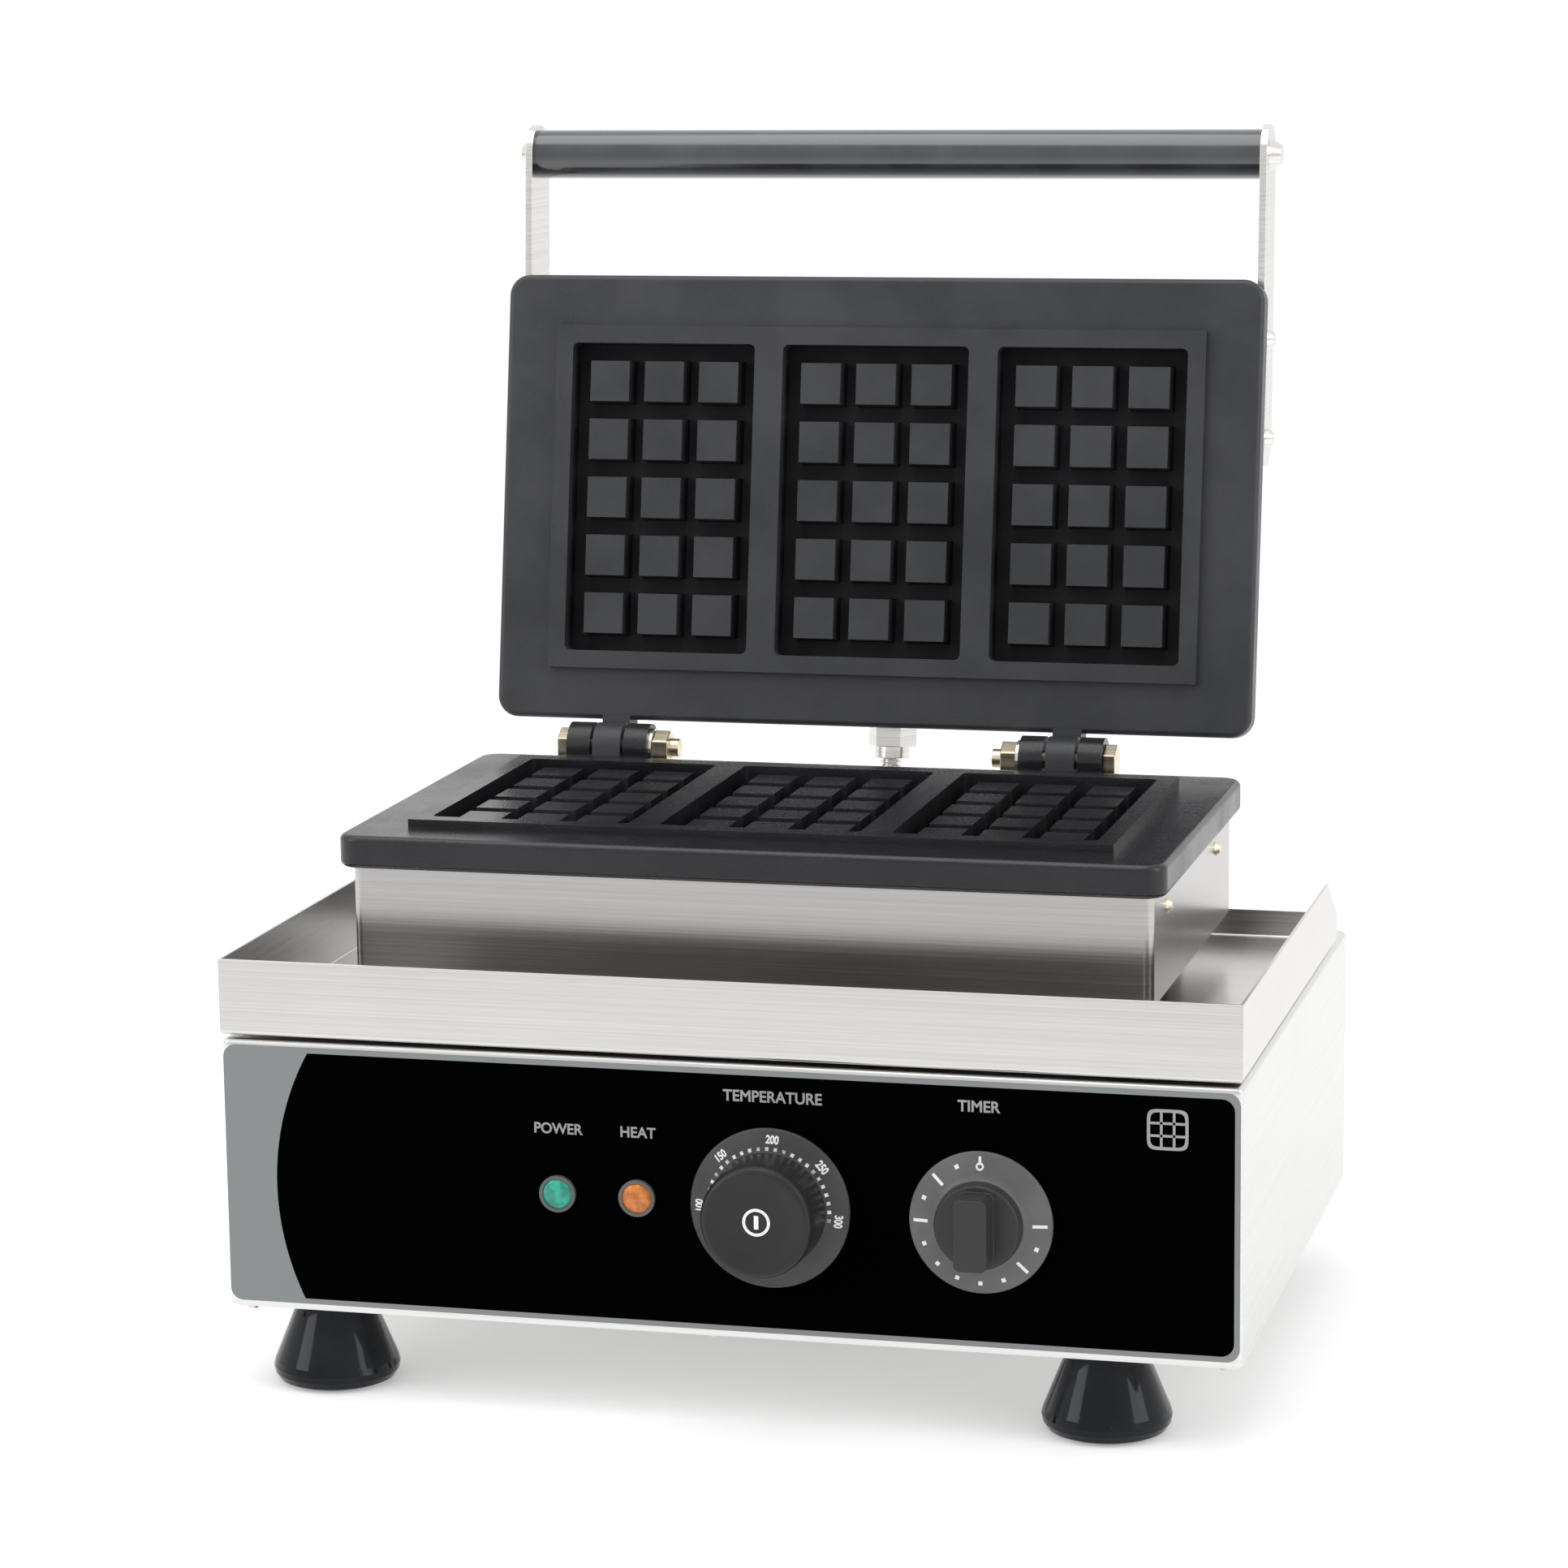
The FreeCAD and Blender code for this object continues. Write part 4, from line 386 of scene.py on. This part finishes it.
finishes = {
    "casing": ("casing_shell", "rear_panel", "bottom_cover"),
    "tray": ("drip_tray",),
    "pedestal": ("pedestal_housing", "upper_housing"),
    "bright": ("left_handle_arm", "right_handle_arm", "handle_end_screws", "arm_screws",
               "upper_housing_screws", "flexible_conduit", "conduit_bushing", "upper_conduit_gland"),
    "zinc": ("pedestal_bolts", "pedestal_nuts", "pedestal_spacers", "wiring_sleeve", "hinge_washers",
             "foot_screws", "foot_nuts", "rear_panel_screws", "bottom_cover_screws", "arm_nuts",
             "handle_rod", "thermostat_spindle", "timer_spindle", "lower_heater_clamps",
             "upper_heater_clamps", "lower_clamp_bolts", "upper_clamp_bolts", "thermostat_body",
             "timer_body"),
    "brassy": ("pedestal_screws", "thermostat_bulb", "hinge_bolts", "hinge_nuts"),
    "heater": ("lower_heating_element", "upper_heating_element"),
    "plate": ("lower_plate",),
    "lidPlate": ("upper_plate",),
    "grip": ("handle_grip",),
    "foot": ("front_left_foot", "front_right_foot", "rear_left_foot", "rear_right_foot"),
    "knob": ("temperature_knob",),
    "timerKnob": ("timer_knob",),
    "black": ("cord_gland",),
    "bezel": ("lamp_bezels",),
    "fibre": ("tray_washers",),
    "ivory": ("terminal_block", "lamp_bodies"),
    "board": ("lower_insulation", "upper_insulation"),
    "greenLens": ("power_lamp_lens",),
    "orangeLens": ("heat_lamp_lens",),
    "panel": ("control_label",),
}
for finish, members in finishes.items():
    for member in members:
        nodes[member].data.materials.clear()
        nodes[member].data.materials.append(materials[finish])
print("materials set on every node")


def newPiece(name, points, faces, material, smooth=True):
    mesh = bpy.data.meshes.new(name)
    mesh.from_pydata(np.asarray(points).tolist(), [], [list(face) for face in faces])
    mesh.validate()
    mesh.materials.append(material)
    mesh.polygons.foreach_set("use_smooth", [smooth] * len(mesh.polygons))
    piece = bpy.data.objects.new(name, mesh)
    bpy.context.scene.collection.objects.link(piece)
    return piece


# Joins each point of a grid, numbered row by row, to the next along its row and its column.
def gridFaces(rows, columns, wrapRows=False, wrapColumns=False):
    i = np.arange(rows if wrapRows else rows - 1)
    j = np.arange(columns if wrapColumns else columns - 1)
    a, b = np.meshgrid(i, j, indexing="ij")
    nextRow, nextColumn = (a + 1) % rows, (b + 1) % columns
    quads = np.stack((a * columns + b, nextRow * columns + b, nextRow * columns + nextColumn,
                      a * columns + nextColumn), axis=-1)
    return quads.reshape(-1, 4)


def tidyMesh(piece, gap=1e-6):  # merges doubles and points the faces outwards
    work = bmesh.new()
    work.from_mesh(piece.data)
    bmesh.ops.remove_doubles(work, verts=work.verts, dist=gap)
    bmesh.ops.recalc_face_normals(work, faces=work.faces)
    work.to_mesh(piece.data)
    work.free()


softening = {"merge": 2e-6, "flatWithin": 0.2, "segments": 3, "sharperThan": 30.0}  # metres and degrees


# Takes a node's place with a copy whose flat faces are joined and whose sharp edges are rounded.
def softened(name, body, material, radius):
    source = nodes[name]
    piece = source.copy()
    piece.data = source.data.copy()
    piece.name = name + "_soft"
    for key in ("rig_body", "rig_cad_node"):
        if key in piece:
            del piece[key]
    piece.parent = None
    bpy.context.scene.collection.objects.link(piece)
    work = bmesh.new()
    work.from_mesh(piece.data)
    bmesh.ops.remove_doubles(work, verts=work.verts, dist=softening["merge"])
    bmesh.ops.dissolve_limit(work, angle_limit=math.radians(softening["flatWithin"]),
                             verts=work.verts, edges=work.edges)
    work.to_mesh(piece.data)
    work.free()
    piece.data.polygons.foreach_set("use_smooth", [True] * len(piece.data.polygons))
    piece.data.materials.clear()
    piece.data.materials.append(material)
    bevel = piece.modifiers.new("softEdges", "BEVEL")
    bevel.width = radius
    bevel.segments = softening["segments"]
    bevel.limit_method = "ANGLE"
    bevel.angle_limit = math.radians(softening["sharperThan"])
    bevel.use_clamp_overlap = True
    flat = piece.modifiers.new("flatNormals", "WEIGHTED_NORMAL")
    flat.mode = "FACE_AREA"
    flat.weight = 100
    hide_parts(name)
    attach(piece, body)


softEdges = {  # node: body, finish, edge radius
    "lower_plate": ("base", "plate", 0.0009), "upper_plate": ("lid", "lidPlate", 0.0009),
    "drip_tray": ("base", "tray", 0.00035), "pedestal_housing": ("base", "pedestal", 0.0003),
    "left_handle_arm": ("lid", "bright", 0.0005), "right_handle_arm": ("lid", "bright", 0.0005),
    "hinge_bolts": ("base", "brassy", 0.0010), "hinge_nuts": ("base", "brassy", 0.0010),
    "upper_conduit_gland": ("lid", "bright", 0.0005), "conduit_bushing": ("base", "bright", 0.0005),
    "cord_gland": ("base", "black", 0.0004), "timer_knob": ("timer_dial", "timerKnob", 0.0006),
    "temperature_knob": ("temperature_dial", "knob", 0.0009),
}
for member, (body, finish, radius) in softEdges.items():
    softened(member, body, materials[finish], radius)
print("castings and sheet edges softened")

# The steps are metres from the lid gland's mouth and from the casing bushing's lower end, each along
# x, y and z. The end is metres in from the conduit node's own corner.
conduit = {"radius": 0.0045, "groove": 0.0003, "pitch": 0.0020, "around": 32, "mouthBack": 0.0037,
           "mouthUp": 0.0018, "mouthSteps": ((0.0, -0.0028, -0.0164), (0.0, -0.0026, -0.045)),
           "topBelow": 0.004, "end": (-0.002, 0.006, 0.0052),
           "bushingSteps": ((0.002, -0.002, -0.02), (0.012, -0.008, -0.045), (0.028, -0.017, -0.068))}


# A Catmull-Rom curve: between two corners it is the cubic that passes through both, with a slope at
# each of half the step between that corner's neighbours. It is then measured and cut evenly.
def pathPoints(corners, spacing):
    corners = np.array(corners, float)
    ends = np.vstack((2 * corners[0] - corners[1], corners, 2 * corners[-1] - corners[-2]))
    t = np.linspace(0, 1, 24, endpoint=False)[:, None]
    runs = []
    for a, b, c, d in zip(ends, ends[1:], ends[2:], ends[3:]):
        runs.append(0.5 * (2 * b + (c - a) * t + (2 * a - 5 * b + 4 * c - d) * t ** 2
                           + (3 * b - a - 3 * c + d) * t ** 3))
    fine = np.vstack(runs + [corners[-1:]])
    along = np.concatenate(([0], np.cumsum(np.linalg.norm(np.diff(fine, axis=0), axis=1))))
    wanted = np.linspace(0, along[-1], int(along[-1] / spacing) + 1)
    return np.stack([np.interp(wanted, along, fine[:, k]) for k in range(3)], axis=1), wanted


# The conduit's radius at distance s along its route is R - g (1 - cos(2 pi s / pitch)) / 2, so it
# is ringed by rounded ribs. Each ring is laid square to the route, on side vectors carried along it.
def corrugatedConduit():
    low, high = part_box("flexible_conduit")
    glandLow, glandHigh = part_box("upper_conduit_gland")
    x = (glandLow.x + glandHigh.x) / 2
    mouthY = (glandLow.y + glandHigh.y) / 2 - conduit["mouthBack"]
    mouthZ = glandLow.z + conduit["mouthUp"]
    bushLow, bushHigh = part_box("conduit_bushing")
    bushY = (bushLow.y + bushHigh.y) / 2
    mouth, bushing = np.array((x, mouthY, mouthZ)), np.array((x, bushY, bushLow.z))
    route = [mouth] + [mouth + step for step in conduit["mouthSteps"]]
    route += [(x, bushY, bushHigh.z - conduit["topBelow"])]
    route += [bushing + step for step in conduit["bushingSteps"]]
    route += [np.array((high.x, low.y, low.z)) + conduit["end"]]
    centres, along = pathPoints(route, conduit["pitch"] / 6)
    tangents = np.gradient(centres, axis=0)
    tangents /= np.linalg.norm(tangents, axis=1)[:, None]
    side = np.cross(tangents, (0, 1, 0))
    side /= np.linalg.norm(side, axis=1)[:, None]
    other = np.cross(tangents, side)
    ribs = 1 - np.cos(2 * math.pi * along / conduit["pitch"])
    radius = conduit["radius"] - conduit["groove"] * ribs / 2
    turns = np.linspace(0, 2 * math.pi, conduit["around"], endpoint=False)
    rings = (centres[:, None] + radius[:, None, None] * (np.cos(turns)[None, :, None] * side[:, None]
             + np.sin(turns)[None, :, None] * other[:, None]))
    rows = len(centres)
    faces = gridFaces(rows, conduit["around"], wrapColumns=True).tolist()
    faces.append(list(range(conduit["around"]))[::-1])
    faces.append([(rows - 1) * conduit["around"] + i for i in range(conduit["around"])])
    piece = newPiece("corrugated_conduit", rings.reshape(-1, 3), faces, materials["bright"])
    tidyMesh(piece)
    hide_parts("flexible_conduit")
    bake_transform(piece)


corrugatedConduit()
print("conduit made")


# Words cast as a thin solid that faces -Y at the centre, turned about its own middle.
def flatText(name, words, size, centre, material, body, turn=0.0, depth=0.0001, thicken=0.0, stretch=1.0):
    curve = bpy.data.curves.new(name, "FONT")
    curve.body = words
    curve.size = size
    curve.align_x = "CENTER"
    curve.align_y = "CENTER"
    curve.extrude = depth / 2
    curve.offset = thicken
    holder = bpy.data.objects.new(name + "_curve", curve)
    bpy.context.scene.collection.objects.link(holder)
    mesh = bpy.data.meshes.new_from_object(holder.evaluated_get(bpy.context.evaluated_depsgraph_get()))
    bpy.data.objects.remove(holder)
    stand = Matrix.Translation(centre) @ Matrix.Rotation(math.radians(90), 4, "X")
    mesh.transform(stand @ Matrix.Rotation(turn, 4, "Z") @ Matrix.Diagonal((stretch, 1, 1, 1)))
    mesh.materials.clear()
    mesh.materials.append(material)
    piece = bpy.data.objects.new(name, mesh)
    bpy.context.scene.collection.objects.link(piece)
    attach(piece, body)
    return piece


panelWords = {  # words, centre x, centre z, letter size, width share
    "power_word": ("POWER", -0.0637, 0.1128, 0.0058, 0.96),
    "heat_word": ("HEAT", -0.0320, 0.1129, 0.0058, 0.98),
    "temperature_word": ("TEMPERATURE", 0.0212, 0.1294, 0.0061, 0.96),
    "timer_word": ("TIMER", 0.1007, 0.1299, 0.0061, 0.96),
}
wordPrint = {"proud": 0.00006, "boldness": 0.022}  # boldness is a share of the letter size
for name, (words, x, z, size, stretch) in panelWords.items():
    flatText(name, words, size, (x, panelFront - wordPrint["proud"], z), materials["ink"], "base",
             thicken=size * wordPrint["boldness"], stretch=stretch)


# A bar is a box of length 2a, width 2b and depth d whose long side points away from the dial's
# middle: its corner is middle + (r + s a) outward + t b sideways, for s and t each plus or minus 1.
# Each bar is (bearing in degrees, r, a, b, how far its back is ahead of the dial's, d).
def radialBars(name, centre, front, bars, material, body):
    corners = np.array([(s, t, d) for d in (0.0, 1.0) for s, t in ((-1, -1), (1, -1), (1, 1), (-1, 1))])
    sides = np.array(((3, 2, 1, 0), (4, 5, 6, 7), (0, 1, 5, 4), (1, 2, 6, 5), (2, 3, 7, 6), (3, 0, 4, 7)))
    bearing, radius, halfLength, halfWidth, seat, depth = np.array(bars, float).T[:, :, None]
    s, t, d = corners.T
    sine, cosine = np.sin(np.radians(bearing)), np.cos(np.radians(bearing))
    out, across = radius + s * halfLength, t * halfWidth
    x = centre[0] + sine * out + cosine * across
    y = front - seat - d * depth
    z = centre[1] + cosine * out - sine * across
    faces = (len(corners) * np.arange(len(bars))[:, None, None] + sides).reshape(-1, 4)
    piece = newPiece(name, np.stack((x, y, z), axis=-1).reshape(-1, 3), faces, material, smooth=False)
    tidyMesh(piece)
    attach(piece, body)
    return piece


draping = {"lift": 0.0001, "sunk": 0.00002, "runUp": 0.05}


# A printed mark is draped on a knob: each point keeps its x and z, and its y becomes the knob's front
# surface there, less the lift for points on the mark's own front face.
def drape(piece, knob):
    mesh = nodes[knob].data
    tree = BVHTree.FromPolygons([vertex.co for vertex in mesh.vertices],
                                [tuple(face.vertices) for face in mesh.polygons])
    front = min(vertex.co.y for vertex in piece.data.vertices)
    back = max(vertex.co.y for vertex in piece.data.vertices)
    for vertex in piece.data.vertices:
        start = Vector((vertex.co.x, front - draping["runUp"], vertex.co.z))
        hit = tree.ray_cast(start, Vector((0, 1, 0)))[0]
        if hit is not None:
            ahead = vertex.co.y < (front + back) / 2
            vertex.co.y = hit.y - (draping["lift"] if ahead else -draping["sunk"])


def middleOf(low, high):  # the x and z of a box's middle
    return (low.x + high.x) / 2, (low.z + high.z) / 2


markPrint = {"sunk": 0.00008, "depth": 0.00016}
knobSkirt = {"radius": 0.0312, "outer": 0.97, "inner": 0.76, "edge": 0.0024, "rise": 0.0018}
knobLow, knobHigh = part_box("temperature_knob")
dialBack = knobHigh.y
temperatureDial = {"centre": middleOf(knobLow, knobHigh), "dots": 24, "dotRadius": 0.0238,
                   "dotHalf": 0.00070, "firstBearing": -90.0, "lastBearing": 97.0,
                   "pointer": (180.0, 0.0268, 0.0012, 0.0004),
                   "numbers": ("100", "150", "200", "250", "300"), "numberStep": 46.75,
                   "numberRadius": 0.0271, "numberSize": 0.0042, "numberProud": 0.00002,
                   "numberBoldness": 0.00014, "numberStretch": 0.80}


def skirtRise(radius):  # height of the skirt's sloping face above the knob's back at a radius
    outer, inner = knobSkirt["radius"] * knobSkirt["outer"], knobSkirt["radius"] * knobSkirt["inner"]
    share = (outer - radius) / (outer - inner)
    return knobSkirt["edge"] + knobSkirt["rise"] * min(max(share, 0.0), 1.0)


def temperatureMarks():
    dial = temperatureDial
    marks = [(bearing, dial["dotRadius"], dial["dotHalf"], dial["dotHalf"])
             for bearing in np.linspace(dial["firstBearing"], dial["lastBearing"], dial["dots"])]
    marks.append(dial["pointer"])
    marks = [mark + (skirtRise(mark[1]) - markPrint["sunk"], markPrint["depth"]) for mark in marks]
    dots = radialBars("temperature_dots", dial["centre"], dialBack, marks, materials["whiteInk"],
                      "temperature_dial")
    drape(dots, "temperature_knob")
    radius = dial["numberRadius"]
    for place, words in enumerate(dial["numbers"]):
        a = math.radians(dial["firstBearing"] + place * dial["numberStep"])
        centre = (dial["centre"][0] + radius * math.sin(a),
                  dialBack - skirtRise(radius) - dial["numberProud"],
                  dial["centre"][1] + radius * math.cos(a))
        number = flatText("temperature_number_%d" % place, words, dial["numberSize"], centre,
                          materials["whiteInk"], "temperature_dial", turn=-a,
                          thicken=dial["numberBoldness"], stretch=dial["numberStretch"])
        drape(number, "temperature_knob")


# A ring is a circle of radius r swept round a dial's middle, its section a flat box of the given
# width and depth.
def ringPiece(name, centre, front, radius, width, depth, material, body, steps=64):
    inner, outer = radius - width / 2, radius + width / 2
    profile = np.array([(inner, 0.0), (inner, depth), (outer, depth), (outer, 0.0)])
    turns = np.linspace(0, 2 * math.pi, steps, endpoint=False)
    r, d = profile.T
    x = centre[0] + np.outer(r, np.sin(turns))
    z = centre[1] + np.outer(r, np.cos(turns))
    y = np.repeat((front - d)[:, None], steps, axis=1)
    points = np.stack((x, y, z), axis=-1).reshape(-1, 3)
    faces = gridFaces(len(profile), steps, wrapRows=True, wrapColumns=True)
    piece = newPiece(name, points, faces, material, smooth=False)
    tidyMesh(piece)
    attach(piece, body)
    return piece


temperatureMarks()
medallion = {"capBehind": 0.00252, "radius": 0.0048, "width": 0.0011, "depth": 0.0004,
             "pointerHalf": 0.0026, "pointerHalfWidth": 0.00085}
capFace = knobLow.y + medallion["capBehind"]
ringPiece("medallion_ring", temperatureDial["centre"], capFace, medallion["radius"], medallion["width"],
          medallion["depth"], materials["whiteInk"], "temperature_dial")
pointer = (0.0, 0.0, medallion["pointerHalf"], medallion["pointerHalfWidth"], 0.0, medallion["depth"])
radialBars("medallion_pointer", temperatureDial["centre"], capFace, [pointer], materials["whiteInk"],
           "temperature_dial")

timerLow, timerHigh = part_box("timer_knob")
timerDial = {"centre": middleOf(timerLow, timerHigh), "radius": 0.0232, "steps": 12, "stepAngle": 22.5,
             "longSteps": (2, 4, 10, 12), "longInset": 0.0004, "longHalf": (0.0028, 0.00060),
             "shortHalf": (0.0008, 0.0008), "offOutset": 0.0010, "offHalf": (0.0016, 0.0005),
             "rise": 0.00262, "zeroInset": 0.0012, "zeroRise": 0.0026, "zeroRadius": 0.0012,
             "zeroWidth": 0.0007, "zeroDepth": 0.0002}


def timerMarks():
    dial = timerDial
    seat = (dial["rise"], markPrint["depth"])
    marks = []
    for step in range(1, dial["steps"] + 1):
        long = step in dial["longSteps"]
        middle = dial["radius"] - (dial["longInset"] if long else 0.0)
        marks.append((-dial["stepAngle"] * step, middle) + dial["longHalf" if long else "shortHalf"] + seat)
    marks.append((0.0, dial["radius"] + dial["offOutset"]) + dial["offHalf"] + seat)
    bars = radialBars("timer_marks", dial["centre"], timerHigh.y, marks, materials["whiteInk"], "timer_dial")
    drape(bars, "timer_knob")
    x, z = dial["centre"]
    zero = ringPiece("timer_zero", (x, z + dial["radius"] - dial["zeroInset"]),
                     timerHigh.y - dial["zeroRise"], dial["zeroRadius"], dial["zeroWidth"],
                     dial["zeroDepth"], materials["whiteInk"], "timer_dial", steps=24)
    drape(zero, "timer_knob")


timerMarks()
print("panel words and dial marks made")

waffleSign = {"centre": (0.172, 0.1249), "half": 0.0072, "line": 0.0006, "around": 64, "squareness": 0.35,
              "behind": 0.00001, "ahead": 0.00011, "barShare": 0.8, "barDepth": 0.0001}


# A plain waffle sign: a rounded square outline with two bars each way. A point of the outline at the
# angle u is (sign of cos u times |cos u| to the power q, the same with sin u), times the half width.
def wafflePrint():
    x, z = waffleSign["centre"]
    half, line, around = waffleSign["half"], waffleSign["line"], waffleSign["around"]
    turns = np.linspace(0, 2 * math.pi, around, endpoint=False)
    circle = np.stack((np.cos(turns), np.sin(turns)), axis=1)
    shape = np.sign(circle) * abs(circle) ** waffleSign["squareness"]
    outer, inner = shape * (half + line), shape * (half - line)
    back, front = panelFront + waffleSign["behind"], panelFront - waffleSign["ahead"]
    rings = [np.stack((x + edge[:, 0], np.full(around, y), z + edge[:, 1]), axis=1)
             for edge, y in ((inner, back), (inner, front), (outer, front), (outer, back))]
    faces = gridFaces(len(rings), around, wrapRows=True, wrapColumns=True)
    piece = newPiece("waffle_sign_outline", np.vstack(rings), faces, materials["ink"], smooth=False)
    tidyMesh(piece)
    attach(piece, "base")
    bars = []
    for bearing in (0.0, 90.0):
        a = math.radians(bearing + 90)
        for offset in (-half / 3, half / 3):
            bars.append((bearing, (x + math.sin(a) * offset, z + math.cos(a) * offset)))
    for number, (bearing, centre) in enumerate(bars):
        bar = (bearing, 0.0, half - line, line * waffleSign["barShare"], 0.0, waffleSign["barDepth"])
        radialBars("waffle_sign_bar_%d" % number, centre, back, [bar], materials["ink"], "base")


wafflePrint()

# The floor glows as painted light that lifts its shadows, and it darkens as painted shade along Y from
# shadeNear forward to shadeFar; the world's strength falls to frontStrength towards -Y.
studio = {"floorHalf": 30.0, "floorDrop": 0.0002, "worldStrength": 1.03, "frontStrength": 0.78,
          "shadeFar": -0.95, "shadeNear": -0.5, "farGlow": 0.16, "nearGlow": 0.34,
          "farTone": (0.56, 0.56, 0.56, 1), "nearTone": (0.66, 0.66, 0.66, 1), "roughness": 0.9,
          "specular": 0.1}


def makeFloor():
    half, drop = studio["floorHalf"], studio["floorDrop"]
    mesh = bpy.data.meshes.new("studio_floor")
    mesh.from_pydata([(-half, -half, -drop), (half, -half, -drop), (half, half, -drop), (-half, half, -drop)],
                     [], [(0, 1, 2, 3)])
    floor = bpy.data.objects.new("studio_floor", mesh)
    bpy.context.scene.collection.objects.link(floor)
    paper = bpy.data.materials.new("floorPaper")
    paper.use_nodes = True
    tree = paper.node_tree
    shader = tree.nodes["Principled BSDF"]
    place = tree.nodes.new("ShaderNodeTexCoord").outputs["Object"]
    away = distanceAlong(tree, place, (0.0, 1.0, 0.0), (0.0, 0.0, 0.0))
    # Painted light and shade: the floor's glow lifts its shadows and falls towards -Y, and so does its tone.
    glow = ramp(tree, away, studio["shadeFar"], studio["shadeNear"], studio["farGlow"], studio["nearGlow"])
    tree.links.new(glow, shader.inputs["Emission Strength"])
    tint = ramp(tree, away, studio["shadeFar"], studio["shadeNear"], 0.0, 1.0)
    tone = mixColour(tree, tint, studio["farTone"], studio["nearTone"])
    tree.links.new(tone, shader.inputs["Base Color"])
    shader.inputs["Roughness"].default_value = studio["roughness"]
    shader.inputs["Specular IOR Level"].default_value = studio["specular"]
    shader.inputs["Emission Color"].default_value = (1, 1, 1, 1)
    mesh.materials.append(paper)


def makeWorld():
    world = bpy.data.worlds.new("studioWorld")
    bpy.context.scene.world = world
    world.use_nodes = True
    tree = world.node_tree
    tree.nodes["Background"].inputs["Color"].default_value = (1, 1, 1, 1)
    facing = tree.nodes.new("ShaderNodeSeparateXYZ")
    tree.links.new(tree.nodes.new("ShaderNodeNewGeometry").outputs["Incoming"], facing.inputs[0])
    strength = ramp(tree, facing.outputs["Y"], 0.2, 0.9, studio["worldStrength"], studio["frontStrength"])
    tree.links.new(strength, tree.nodes["Background"].inputs["Strength"])


def areaLight(name, place, target, width, height, power):
    data = bpy.data.lights.new(name, "AREA")
    data.shape = "RECTANGLE"
    data.size, data.size_y, data.energy = width, height, power
    lamp = bpy.data.objects.new(name, data)
    bpy.context.scene.collection.objects.link(lamp)
    lamp.location = place
    lamp.rotation_euler = (Vector(target) - Vector(place)).to_track_quat("-Z", "Y").to_euler()


makeFloor()
makeWorld()
lamps = {  # place, width, height, power
    "softTop": ((-0.3, -0.4, 2.4), 2.0, 2.0, 22),
    "softLeft": ((-2.0, -1.6, 1.3), 1.2, 1.6, 16),
    "softRight": ((2.2, -0.6, 1.2), 1.2, 1.6, 14),
}
lampTarget = (0, 0, 0.2)
for name, (place, width, height, power) in lamps.items():
    areaLight(name, place, lampTarget, width, height, power)

eye = {"place": (0.4585, -1.8127, 0.5649), "yaw": 14.54, "pitch": 10.39, "roll": -0.72, "lens": 107.74,
       "sensor": 36.0, "farthest": 200.0}


def makeCamera():
    yaw, pitch, roll = (math.radians(eye[key]) for key in ("yaw", "pitch", "roll"))
    forward = Vector((-math.sin(yaw) * math.cos(pitch), math.cos(yaw) * math.cos(pitch), -math.sin(pitch)))
    right = Vector((math.cos(yaw), math.sin(yaw), 0))
    up = right.cross(forward)
    across = right * math.cos(roll) + up * math.sin(roll)
    upward = up * math.cos(roll) - right * math.sin(roll)
    data = bpy.data.cameras.new("studioCamera")
    data.lens = eye["lens"]
    data.sensor_width = eye["sensor"]
    data.clip_end = eye["farthest"]
    camera = bpy.data.objects.new("studioCamera", data)
    bpy.context.scene.collection.objects.link(camera)
    turned = Matrix((across, upward, -forward)).transposed().to_4x4()
    camera.matrix_world = Matrix.Translation(eye["place"]) @ turned
    bpy.context.scene.camera = camera


makeCamera()
bpy.context.scene.view_settings.view_transform = "Standard"
bpy.context.view_layer.update()
print("scene ready")
